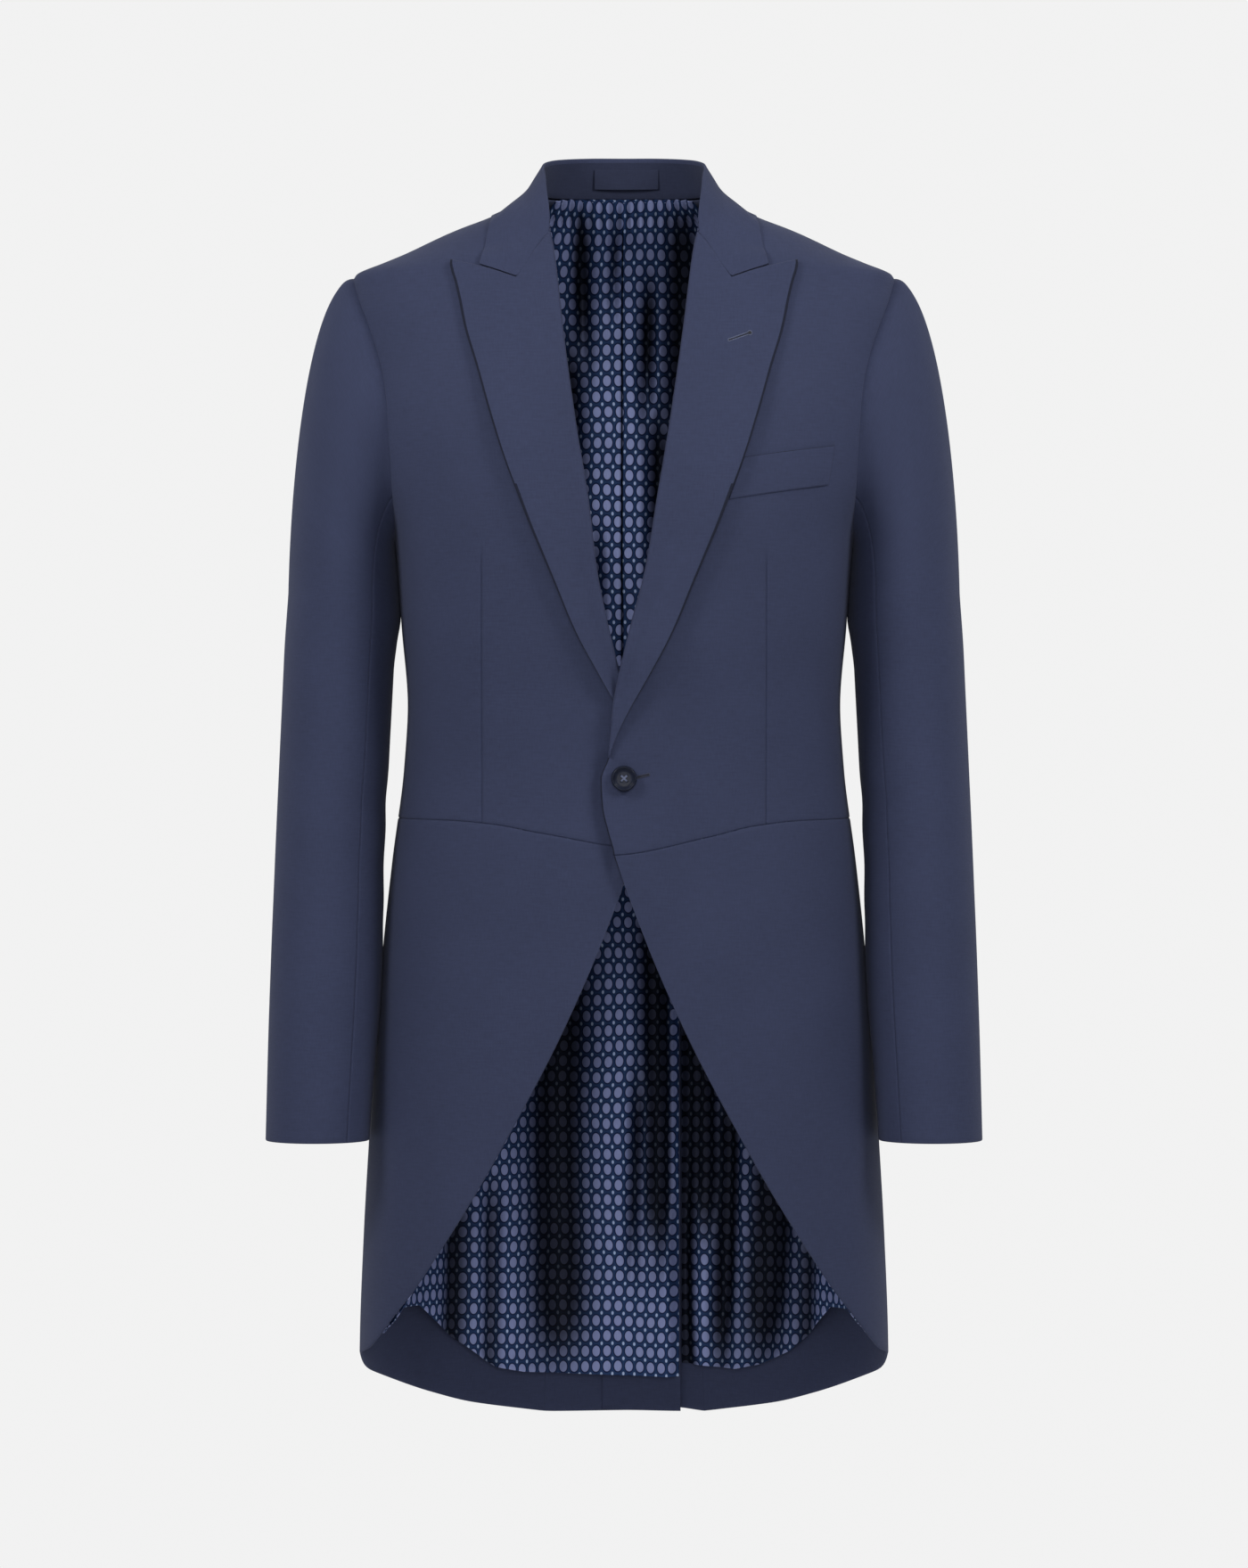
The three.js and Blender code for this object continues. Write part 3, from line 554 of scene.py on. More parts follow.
def shell(name, outer, inner, uvs, materials, inside=None, edging=None, hollow=None):
    """Closed wall between two grids, in metres, with a UV map in metres of cloth.

    The second material shows where inside marks the inner grid; the last, a darker copy as painted
    shade, where its mask marks the outer grid. Painted fold shade is a share stored on the points.
    """
    rows, columns = outer.shape[:2]
    count = rows * columns
    index = np.arange(count).reshape(rows, columns)
    low, right, far, left = index[:-1, :-1], index[:-1, 1:], index[1:, 1:], index[1:, :-1]
    top = np.stack([low, right, far, left], -1).reshape(-1, 4)
    back = np.stack([low, left, far, right], -1).reshape(-1, 4) + count
    ring = np.concatenate([index[0, :-1], index[:-1, -1], index[-1, :0:-1], index[:0:-1, 0]])
    ahead = np.roll(ring, -1)
    rim = np.stack([ahead, ring, ring + count, ahead + count], -1)
    faces = np.concatenate([top, back, rim])
    points = np.concatenate([outer.reshape(-1, 3), inner.reshape(-1, 3)])
    if volume(points, faces) < 0:
        faces = faces[:, ::-1]
    slots = np.zeros(len(faces), np.int32)
    for marks, start, slot in ((edging, 0, len(materials) - 1), (inside, len(top), 1)):
        if marks is not None:
            cells = marks[:-1, :-1] & marks[1:, 1:]
            slots[start : start + len(top)] = cells.reshape(-1) * slot
    mesh = bpy.data.meshes.new(name)
    mesh.from_pydata((points * MM).tolist(), [], faces.tolist())
    corner = np.zeros(len(mesh.loops), np.int32)
    mesh.loops.foreach_get("vertex_index", corner)
    flat = np.concatenate([uvs.reshape(-1, 2)] * 2)
    layer = mesh.uv_layers.new(name="Cloth")
    layer.data.foreach_set("uv", (flat[corner] * MM).astype(np.float32).ravel())
    if hollow is not None:
        shade = mesh.attributes.new("Hollow", "FLOAT", "POINT")
        shade.data.foreach_set("value", np.tile(hollow.reshape(-1), 2).astype(np.float32))
    for material in materials:
        mesh.materials.append(material)
    mesh.polygons.foreach_set("material_index", slots)
    smooth_faces(mesh, 50)
    mesh.validate()
    mesh.update()
    return placed(name, mesh)


def marked(grid, rows=slice(None), columns=slice(None)):
    """Marks for some rows and columns of a grid."""
    marks = np.zeros(grid.shape[:2], bool)
    marks[rows, columns] = True
    return marks


def measure(grid):
    """Width, length and area of a grid of points, in metres."""
    cross = np.cross(grid[1:, 1:] - grid[:-1, :-1], grid[1:, :-1] - grid[:-1, 1:])
    area = np.linalg.norm(cross, axis=-1).sum() / 2
    return reach(grid, 1).max() * MM, reach(grid, 0).max() * MM, area * MM * MM


def cloth_piece(
    name, faces, rests_on, side="left", materials=None, uvs=None, nodes=None, slot="cloth",
    held="hung", **marks,
):
    """Closes a piece of cloth, which stands for the node that it is named after, and hides that
    node.
    """
    outer, inner, grid = faces
    outer, inner = mirrored(outer, side), mirrored(inner, side)
    uvs = body_uvs(grid, side) if uvs is None else uvs
    piece = shell(name, outer, inner, uvs, materials or [worsted()], **marks)
    nodes = nodes or [name.rpartition("_")[0]]
    width, length, area = measure(outer)
    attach(piece, "root")
    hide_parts(*nodes)


def body_uvs(grid, side="left"):
    turn, z = grid[..., 0], grid[..., 1]
    return pair(girth(turn, z) * SIGN[side], z)


# Shader and geometry nodes
def fill(tree, made, values):
    """Sets or links sockets of a node; values are (socket, value or other socket)."""
    for socket, value in values:
        if isinstance(value, bpy.types.NodeSocket):
            tree.links.new(value, made.inputs[socket])
        else:
            made.inputs[socket].default_value = value


def node(tree, kind, values=(), **settings):
    made = tree.nodes.new(kind)
    for key, value in settings.items():
        setattr(made, key, value)
    fill(tree, made, values)
    return made


def math_node(tree, operation, *values, clamp=False):
    made = node(tree, "ShaderNodeMath", enumerate(values), operation=operation, use_clamp=clamp)
    return made.outputs[0]


def colour_mix(tree, share, first, second):
    sockets = [("Factor", share), (6, first), (7, second)]
    return node(tree, "ShaderNodeMix", sockets, data_type="RGBA").outputs[2]


def ramp(tree, value, start, end, kind="LINEAR"):
    sockets = [(0, value), (1, start), (2, end)]
    return node(tree, "ShaderNodeMapRange", sockets, interpolation_type=kind).outputs[0]


def noise(tree, place, scale, detail):
    sockets = [("Vector", place), ("Scale", scale), ("Detail", detail)]
    return node(tree, "ShaderNodeTexNoise", sockets).outputs[0]


def stretched(tree, place, scale):
    return node(tree, "ShaderNodeMapping", [("Vector", place), ("Scale", scale)]).outputs[0]


def rgba(colour, gain=1.0):
    return tuple(c * gain for c in colour) + (1.0,)


def kept(store, usual):
    """Has a block of Blender's data built once, and finds it by its name after that."""

    def decorate(build):
        def find(name=usual, **values):
            blocks = getattr(bpy.data, store)
            return blocks[name] if name in blocks else build(name, **values)

        return find

    return decorate


def new_group(name, kind, inputs, outputs):
    """Empty node group with its sockets."""
    group = bpy.data.node_groups.new(name, kind)
    for way, sockets in (("INPUT", inputs), ("OUTPUT", outputs)):
        for label, data, *default in sockets:
            socket = group.interface.new_socket(
                label, in_out=way, socket_type=f"NodeSocket{data}"
            )
            if default:
                socket.default_value = default[0]
    start = group.nodes.new("NodeGroupInput")
    end = group.nodes.new("NodeGroupOutput")
    return group, start.outputs, end


@kept("node_groups", "Worsted twill")
def twill(name):
    """Fine twill of two navy yarns: a mottle of colour and the height of the weave."""
    group, given, end = new_group(
        name, "ShaderNodeTree",
        [("Vector", "Vector"), ("Rib Pitch", "Float", 0.0007), ("Pick Pitch", "Float", 0.00055),
         ("Yarn Variation", "Float", 0.5)],
        [("Mottle", "Float"), ("Height", "Float")],
    )
    axes = node(group, "ShaderNodeSeparateXYZ", [(0, given["Vector"])]).outputs

    def wave(place, pitch):
        phase = math_node(group, "DIVIDE", place, pitch)
        return math_node(group, "SINE", math_node(group, "MULTIPLY", phase, math.tau))

    slant = math_node(group, "MULTIPLY_ADD", axes[1], 0.8, axes[0])
    rib, pick = wave(slant, given["Rib Pitch"]), wave(axes[1], given["Pick Pitch"])
    weave = math_node(group, "MULTIPLY_ADD", pick, 0.45, rib)
    warp = noise(group, stretched(group, given["Vector"], (1.0, 0.16, 1.0)), 900.0, 3.0)
    weft = noise(group, stretched(group, given["Vector"], (0.14, 1.0, 1.0)), 700.0, 2.0)
    cloud = noise(group, given["Vector"], 14.0, 3.0)
    yarns = math_node(group, "ADD", warp, weft)
    centred = math_node(group, "SUBTRACT", yarns, 1.0)
    varied = math_node(group, "MULTIPLY", centred, given["Yarn Variation"])
    ribbed = math_node(group, "MULTIPLY_ADD", weave, 0.05, varied)
    drift = math_node(group, "MULTIPLY", math_node(group, "SUBTRACT", cloud, 0.5), 0.35)
    mottle = math_node(group, "ADD", math_node(group, "ADD", ribbed, drift), 0.5, clamp=True)
    fill(group, end, [(0, mottle), (1, math_node(group, "MULTIPLY_ADD", yarns, 1.6, weave))])
    return group


@kept("node_groups", "Oval and dot weave")
def foulard(name):
    """Upright ovals in a grid with a small dot between each four, as masks."""
    group, given, end = new_group(
        name, "ShaderNodeTree",
        [("Vector", "Vector"), ("Pitch Across", "Float", 0.0092), ("Pitch Down", "Float", 0.0126),
         ("Oval Width", "Float", 0.0064), ("Oval Height", "Float", 0.0087),
         ("Dot Width", "Float", 0.002), ("Dot Height", "Float", 0.003),
         ("Ring Width", "Float", 0.32)],
        [("Oval", "Float"), ("Ring", "Float"), ("Dot", "Float")],
    )
    axes = node(group, "ShaderNodeSeparateXYZ", [(0, given["Vector"])]).outputs

    def distance(figure, offset):
        """Distance from the middle of the nearest cell, 1 on the edge of this figure."""
        parts = []
        for axis, pitch, size in (
            (axes[0], given["Pitch Across"], given[figure + " Width"]),
            (axes[1], given["Pitch Down"], given[figure + " Height"]),
        ):
            cells = math_node(group, "ADD", math_node(group, "DIVIDE", axis, pitch), offset)
            away = math_node(group, "SUBTRACT", math_node(group, "FRACT", cells), 0.5)
            half = math_node(group, "MULTIPLY", size, 0.5)
            scaled = math_node(group, "DIVIDE", math_node(group, "MULTIPLY", away, pitch), half)
            parts.append(math_node(group, "POWER", math_node(group, "ABSOLUTE", scaled), 2.0))
        return math_node(group, "SQRT", math_node(group, "ADD", *parts))

    oval = distance("Oval", 0.5)
    inside = ramp(group, oval, 1.06, 0.94, "SMOOTHSTEP")
    limit = math_node(group, "ADD", 1.0, given["Ring Width"])
    start = math_node(group, "SUBTRACT", limit, 0.1)
    within = ramp(group, oval, limit, start, "SMOOTHSTEP")
    ring = math_node(group, "SUBTRACT", within, inside, clamp=True)
    dot = ramp(group, distance("Dot", 0.0), 1.2, 0.8, "SMOOTHSTEP")
    fill(group, end, [(0, inside), (1, ring), (2, dot)])
    return group


def new_material(name, place="Object"):
    """Material with the coordinates that it is laid on by."""
    material = bpy.data.materials.new(name)
    material.use_nodes = True
    tree = material.node_tree
    if place == "Cloth":
        spot = node(tree, "ShaderNodeUVMap", uv_map=place).outputs[0]
    else:
        spot = node(tree, "ShaderNodeTexCoord").outputs[place]
    return material, tree, spot


def finish(tree, colour, height, strength, levels, distance=0.0001):
    """Gives the shader its colour, the relief of its surface and its other levels."""
    relief = [("Strength", strength), ("Distance", distance), ("Height", height)]
    normal = node(tree, "ShaderNodeBump", relief).outputs[0]
    values = {"Base Color": colour, "Normal": normal, **levels}
    fill(tree, tree.nodes["Principled BSDF"], values.items())


@kept("materials", "Navy worsted")
def worsted(name, gain=1.0):
    """Matt navy wool: two yarn colours in a fine twill, with a soft nap."""
    material, tree, place = new_material(name, "Cloth")
    weave = node(tree, "ShaderNodeGroup", [("Vector", place)], node_tree=twill()).outputs
    cloth = bpy.context.scene.coat_colours.cloth
    dark, light = rgba(cloth, 0.72 * gain), rgba(cloth, 1.28 * gain)
    finish(tree, colour_mix(tree, weave["Mottle"], dark, light), weave["Height"], 0.25, {
        "Roughness": 0.82, "Specular IOR Level": 0.16, "Sheen Weight": 0.07,
        "Sheen Roughness": 0.45, "Sheen Tint": (0.72, 0.76, 0.95, 1.0),
    }, distance=0.00012)
    return material


def edge_shade_cloth():
    """Copy of the worsted darkened to 0.3 as painted shade, the contact shadow along open edges.
    """
    return worsted("Navy edge", gain=0.3)


def collar_shade_cloth():
    """Copy of the worsted darkened to 0.62 as painted shade inside the collar stand."""
    return worsted("Navy undercollar", gain=0.62)


@kept("materials", "Foulard satin")
def satin(name):
    """Blue satin lining woven with light ovals, dark rings and small dots, darkened in its folds
    by painted shade.
    """
    colours = bpy.context.scene.coat_colours
    material, tree, place = new_material(name, "Cloth")
    figure = node(tree, "ShaderNodeGroup", [("Vector", place)], node_tree=foulard()).outputs
    grain = noise(tree, stretched(tree, place, (1.0, 0.1, 1.0)), 1600.0, 2.0)
    ground, oval = (
        colour_mix(tree, grain, rgba(colour, dim), rgba(colour))
        for colour, dim in ((colours.lining_ground, 0.6), (colours.lining_oval, 0.72))
    )
    colour = colour_mix(tree, figure["Ring"], ground, rgba(colours.lining_ring))
    colour = colour_mix(tree, figure["Oval"], colour, oval)
    colour = colour_mix(tree, figure["Dot"], colour, rgba(colours.lining_dot))
    # Painted shade: the colour fades to black where the stored share of fold shade is high.
    hollow = node(tree, "ShaderNodeAttribute", attribute_name="Hollow").outputs["Fac"]
    shade = math_node(tree, "MULTIPLY_ADD", hollow, -0.93, 1.0, clamp=True)
    raised = math_node(tree, "MULTIPLY_ADD", grain, 0.5, figure["Oval"])
    finish(tree, colour_mix(tree, shade, (0.0, 0.0, 0.0, 1.0), colour), raised, 0.3, {
        "Roughness": math_node(tree, "MULTIPLY_ADD", figure["Oval"], -0.04, 0.5),
        "Metallic": 0.4, "Specular IOR Level": 0.1,
    })
    return material


@kept("materials", "Dark resin")
def resin(name):
    """Polished dark resin with faint clouds."""
    material, tree, place = new_material(name)
    cloud = noise(tree, place, 260.0, 4.0)
    base = bpy.context.scene.coat_colours.button
    finish(tree, colour_mix(tree, cloud, rgba(base, 0.55), rgba(base, 1.5)), cloud, 0.12, {
        "Roughness": math_node(tree, "MULTIPLY_ADD", cloud, 0.08, 0.24),
        "Specular IOR Level": 0.1,
    })
    return material


@kept("materials", "Slate silk")
def silk(name, colour=(0.1, 0.12, 0.2)):
    """Twisted sewing silk."""
    material, tree, place = new_material(name)
    twist = noise(tree, place, 2400.0, 2.0)
    dyed = colour_mix(tree, twist, rgba(colour, 0.7), rgba(colour, 1.3))
    finish(tree, dyed, twist, 0.3, {"Roughness": 0.55})
    return material


# Stitches and threads that follow a line
def line_group(name, sockets):
    """Node group that starts from a line of points and ends with thread."""
    tree, given, end = new_group(
        name, "GeometryNodeTree", [("Line", "Geometry"), *sockets, ("Thread", "Material")],
        [("Threads", "Geometry")],
    )
    line = node(tree, "GeometryNodeMeshToCurve", [(0, given["Line"])]).outputs[0]
    return tree, given, end, line


def dye(tree, given, end, shape):
    """Ends a line group: the shape made real, smooth and dyed."""
    real = node(tree, "GeometryNodeRealizeInstances", [(0, shape)]).outputs[0]
    smooth = node(tree, "GeometryNodeSetShadeSmooth", [(0, real)]).outputs[0]
    sockets = [("Geometry", smooth), ("Material", given["Thread"])]
    fill(tree, end, [(0, node(tree, "GeometryNodeSetMaterial", sockets).outputs[0])])


@kept("node_groups", "Stitches on a line")
def stitch_group(name):
    """Rounded stitches laid along or across a line."""
    tree, given, end, line = line_group(name, [
        ("Spacing", "Float", 0.002), ("Length", "Float", 0.001), ("Thickness", "Float", 0.0003),
        ("Across", "Float", 0.0), ("Facing", "Vector", (0.0, -1.0, 0.0)),
        ("Unevenness", "Float", 0.1),
    ])
    spaced = node(
        tree, "GeometryNodeResampleCurve", [("Curve", line), ("Length", given["Spacing"])],
        mode="LENGTH",
    ).outputs[0]
    marks = node(tree, "GeometryNodeCurveToPoints", [("Curve", spaced)], mode="EVALUATED").outputs
    sideways = node(
        tree, "ShaderNodeVectorMath", [(0, marks["Tangent"]), (1, given["Facing"])],
        operation="CROSS_PRODUCT",
    ).outputs[0]
    way = node(
        tree, "ShaderNodeMix", [("Factor", given["Across"]), (4, marks["Tangent"]), (5, sideways)],
        data_type="VECTOR",
    ).outputs[1]
    turned = node(tree, "FunctionNodeAlignRotationToVector", [("Vector", way)], axis="Z")
    size = node(
        tree, "ShaderNodeCombineXYZ",
        [(0, given["Thickness"]), (1, given["Thickness"]), (2, given["Length"])],
    ).outputs[0]
    chance = node(tree, "FunctionNodeRandomValue", [("Seed", 7)], data_type="FLOAT").outputs[1]
    spread = math_node(tree, "MULTIPLY_ADD", chance, given["Unevenness"], 1.0)
    scale = node(tree, "ShaderNodeVectorMath", [(0, size), ("Scale", spread)], operation="SCALE")
    grain = node(
        tree, "GeometryNodeMeshUVSphere", [("Segments", 6), ("Rings", 5), ("Radius", 0.5)]
    ).outputs[0]
    laid = node(
        tree, "GeometryNodeInstanceOnPoints",
        [("Points", marks["Points"]), ("Instance", grain), ("Rotation", turned.outputs[0]),
         ("Scale", scale.outputs[0])],
    ).outputs[0]
    dye(tree, given, end, laid)
    return tree


@kept("node_groups", "Thread on a line")
def cord_group(name):
    """Round thread along a line."""
    tree, given, end, line = line_group(name, [("Radius", "Float", 0.0004)])
    ring = node(
        tree, "GeometryNodeCurvePrimitiveCircle",
        [("Resolution", 8), ("Radius", given["Radius"])], mode="RADIUS",
    ).outputs[0]
    sockets = [("Curve", line), ("Profile Curve", ring), ("Fill Caps", True)]
    dye(tree, given, end, node(tree, "GeometryNodeCurveToMesh", sockets).outputs[0])
    return tree


def grow(name, lines, tree, **values):
    """Runs a line group over lines of points and keeps the result as a plain mesh."""
    points, edges = [], []
    for line in lines:
        start = len(points)
        points += [tuple(p * MM) for p in line]
        edges += [(k, k + 1) for k in range(start, len(points) - 1)]
    seed = bpy.data.meshes.new(name + "_line")
    seed.from_pydata(points, edges, [])
    guide = placed(name + "_line", seed)
    modifier = guide.modifiers.new("Thread", "NODES")
    modifier.node_group = tree
    for item in tree.interface.items_tree:
        label = item.name.lower()
        if item.in_out == "INPUT" and label in values:
            modifier[item.identifier] = values[label]
    graph = bpy.context.evaluated_depsgraph_get()
    mesh = bpy.data.meshes.new_from_object(guide.evaluated_get(graph), depsgraph=graph)
    mesh.name = name
    bpy.data.objects.remove(guide)
    bpy.data.meshes.remove(seed)
    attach(placed(name, mesh), "root")


# Sleeves: a rounded head from the armhole to a level ring, then rings to the cuff
ring_at = [column(SLEEVE, "z", name) for name in ("x", "y", "across", "depth")]
ARMHOLE_CENTRE = np.array([190.0, 3.0, -147.0])
HEAD_INSET = -0.35
HEAD_TUCK = 1.6
UNDERARM_BULGE = 1.4
HEAD_SHARE = 0.42
SLEEVE_LINING_END = 0.93


def ring_point(angle, z):
    x, y, across, depth = (value(z) for value in ring_at)
    turn = np.radians(angle)
    return np.stack([x + across * np.sin(turn), y - depth * np.cos(turn), z], -1)


def shoulder_drop(x, z):
    """How far the shoulder's end lies below the body surface."""
    return SHOULDER_DROP * ease(138, 185, x) * ease(-70, -46, z)


def sleeve_point(angle, t):
    angle, t = np.broadcast_arrays(np.asarray(angle, float), np.asarray(t, float))
    low = mix(SLEEVE_JOIN_Z, CUFF_Z, np.clip((t - HEAD_SHARE) / (1 - HEAD_SHARE), 0, 1))
    arm = ring_point(angle, low)
    start_turn, start_z = np.moveaxis(armhole_at((90 - angle) / 360), -1, 0)
    ends = body_point(start_turn, start_z)
    start = on_body(start_turn, start_z, -HEAD_TUCK - shoulder_drop(ends[..., 0], start_z))
    inwards = (ARMHOLE_CENTRE - start) * np.array([0.0, 1.0, 1.0])
    start = start + unit(inwards) * HEAD_INSET
    end = ring_point(angle, np.full_like(angle, SLEEVE_JOIN_Z))
    share = np.clip(t / HEAD_SHARE, 0, 1)
    swing = share * math.pi / 2
    under = np.maximum(-np.sin(np.radians(angle)), 0)
    rounded = 0.9 * np.sin(swing) ** 0.9 + 0.1 * (1 - np.cos(swing))
    out = mix(rounded, ease(0, 1, share), under)
    down = 1 - np.cos(swing)
    x = mix(start[..., 0], end[..., 0], out) + UNDERARM_BULGE * under * np.sin(2 * swing)
    y = mix(start[..., 1], end[..., 1], out)
    head = np.stack([x, y, mix(start[..., 2], end[..., 2], down)], -1)
    return np.where((t > HEAD_SHARE)[..., None], arm, head)


def sleeve_normal(angle, t):
    around = sleeve_point(angle + 1, t) - sleeve_point(angle - 1, t)
    ahead, behind = np.minimum(t + 0.004, 1), np.maximum(t - 0.004, 0)
    along = sleeve_point(angle, ahead) - sleeve_point(angle, behind)
    return unit(np.cross(along, around))


SLEEVE_SURFACE = (sleeve_point, sleeve_normal)


def sleeve_creases(angle, t):
    """Shallow uneven drapes: a soft break at the elbow and long pulls from the head."""
    z = sleeve_point(angle, t)[..., 2]
    depth = user_size("sleeve_crease")
    inner = bump(angle, -70, 55) + bump(angle, 290, 55)
    elbow = bump(z, -455, 16) * 0.8 + bump(z, -505, 24) + bump(z, -552, 18) * 0.5
    pull = bump(angle, 20 + (z + 300) * 0.11, 14) * bump(z, -330, 120)
    back = bump(angle, 165 - (z + 300) * 0.06, 16) * bump(z, -360, 140)
    fold = sleeve_slack(z) * (bump(angle, 270, 48) + bump(angle, -90, 48))
    fold = fold + 1.1 * bump(t, 0.03, 0.03) * np.maximum(np.sin(np.radians(angle)), 0) ** 2
    return fold - depth * (1.1 * inner * elbow + 0.7 * pull + 0.9 * back)


def sleeve_uvs(grid, side):
    points = sleeve_point(grid[..., 0], grid[..., 1])
    across, down = centred(reach(points, 1), 1), reach(points, 0)
    return pair(across * SIGN[side], -down[:, down.shape[1] // 2][:, None])


# Body drape shared by the panels: shallow swells and hollows that hang from the shoulders
def body_drape(side):
    over, lap_edge = lap_over(side), front_edge("left")

    def at(turn, z):
        p = body_point(turn, z)
        x = p[..., 0]
        depth = user_size("body_drape")
        front = ease(100, 60, turn)
        armhole = bump(x, 168 + (z + 260) * 0.05, 9) * bump(z, -270, 70) * front
        chest = bump(x, 150 + (z + 200) * 0.12, 12) * bump(z, -215, 60) * front
        waist = bump(z, -400 + (x - 100) * 0.25, 15) * bump(x, 160, 26) * front
        flare = bump(turn, 62 + (z + 700) * 0.02, 5) * ease(-560, -800, z)
        flare = flare + 0.8 * bump(turn, 112 - (z + 700) * 0.02, 7) * ease(-540, -820, z)
        blade = bump(turn, 138, 7) * bump(z, -215, 60) * 0.8
        back = bump(turn, 150, 6) * bump(z, -420, 60) * 0.6
        relief = 0.6 * armhole + 0.5 * chest + 0.5 * waist + 1.3 * flare + blade + back
        shoulder = shoulder_drop(x, z)
        groove = bump(x, DART_X, 0.7) * ease(-256, -272, z) * ease(-484, -472, z) * front
        dip = 0
        if side == "right":
            edge = -body_point(*np.moveaxis(lap_edge(z), -1, 0))[..., 0]
            dip = front * bump(x, edge + 0.5, 4) * ease(-412, -428, z) * ease(-520, -500, z)
        return over(turn, z) - depth * relief - DART_DEPTH * groove - shoulder - LAP_DIP * dip

    return at


def forepart_grid(side):
    inset = lambda z: 2.8 * ease(-412, -392, z)
    edge = front_edge(side, inset)
    start = front_edge(side)(WAIST_FRONT_Z[side])[0]

    def bottom(t):
        turn = mix(start, UNDERARM_TURN, t)
        return pair(turn, waist_at(turn, side))

    neck = lambda t: neck_front(t) + pair(1.5 * (1 - t) ** 2, 0 * t)
    place = patch(
        bottom,
        shoulder_seam,
        chain((16 / 21, lambda t: edge(mix(WAIST_FRONT_Z[side], NECK_Z, t))), (1, neck)),
        chain((9 / 21, underarm_seam), (1, lambda t: armhole_at(mix(UNDERARM_SHARE, 0, t)))),
    )
    columns, rows, at_dart = 60, 126, 28
    probe = np.linspace(0, 1, 201)
    us, vs = np.meshgrid(probe, np.linspace(0, 1, rows + 1))
    turns = place(us, vs)
    xs = body_point(turns[..., 0], turns[..., 1])[..., 0]
    dart = np.array([np.interp(DART_X, row, probe) for row in xs])
    share = np.concatenate([
        dart[:, None] * np.linspace(0, 1, at_dart + 1)[None, :],
        mix(dart[:, None], 1, np.linspace(0, 1, columns - at_dart + 1)[None, 1:]),
    ], axis=1)
    grid = place(share, vs[:, :1] + 0 * share)
    steps = np.array([0.0, 0.3, 0.7, 1.2, 1.9])
    near = close_lines(grid[:, : at_dart + 1].swapaxes(0, 1)[::-1], body_point, steps)
    far = close_lines(grid[:, at_dart:].swapaxes(0, 1), body_point, steps)
    return np.concatenate([near[::-1], far[1:]]).swapaxes(0, 1)


def skirt_grid(side, columns=110, rows=60):
    top = front_edge(side)(WAIST_FRONT_Z[side])[0]
    start = front_turn(*CUTAWAY[0])

    def upper(t):
        turn = mix(top, SIDE_BACK_TURN, t)
        return pair(turn, waist_at(turn, side))

    def lower(t):
        turn = mix(start, TAIL_TURN, t)
        return pair(turn, np.where(turn < 140, cutaway_at(turn), hem_at(turn)))

    front = lambda t: pair(mix(start, top, t), mix(CUTAWAY[0][1], WAIST_FRONT_Z[side], t))
    return even_grid(columns, rows, patch(lower, upper, front, tail_seam))


def back_grid(side, columns=48, rows=168):
    raised = LEFT_TAIL_RISE if side == "left" else 0

    def hem(t):
        turn = mix(180, TAIL_TURN, t)
        return pair(turn, hem_at(turn) + raised * ease(150, 166, turn))

    centre = chain(
        (23 / 28, lambda t: pair(180.0, mix(HEM["z"][-1] + raised, NECK_BACK_Z, t))),
        (1, neck_back),
    )
    outside = chain(
        (9 / 28, tail_seam),
        (18 / 28, side_back_seam),
        (1, lambda t: armhole_at(mix(SIDE_BACK_SHARE, 1, t))),
    )
    return even_grid(columns, rows, patch(hem, shoulder_seam, centre, outside))


def side_body_grid(columns=45, rows=54):
    def bottom(t):
        turn = mix(UNDERARM_TURN, SIDE_BACK_TURN, t)
        return pair(turn, waist_at(turn))

    top = lambda t: armhole_at(mix(UNDERARM_SHARE, SIDE_BACK_SHARE, t))
    return even_grid(columns, rows, patch(bottom, top, underarm_seam, side_back_seam))


# Lapels
def lapel_lift(side):
    """Rise of a lapel over the chest: rolled at its fold and standing off at its edge."""
    edge = front_edge(side)
    over = lap_over(side)
    outline = np.array(LAPEL_EDGE)[::-1]

    def at(turn, z):
        x = body_point(turn, z)[..., 0]
        inner = body_point(*np.moveaxis(edge(z), -1, 0))[..., 0]
        away = np.maximum(x - inner, 0)
        roll = user_size("lapel_roll")
        fold = roll * np.exp(-((away / 13) ** 2)) * ease(-385, -300, z)
        peak = 0.9 * ease(40, 110, x) * ease(-130, -45, z)
        belly = 0.5 * bump(away, 34, 18) * ease(-380, -250, z) * ease(-30, -120, z)
        width = np.maximum(np.interp(z, outline[:, 1], outline[:, 0]) - inner, 4)
        open_edge = ease(0.3, 1.0, away / width) * ease(-414, -360, z) * ease(-60, -190, z)
        return fold + peak + belly + LAPEL_STAND * open_edge + over(turn, z)

    return at


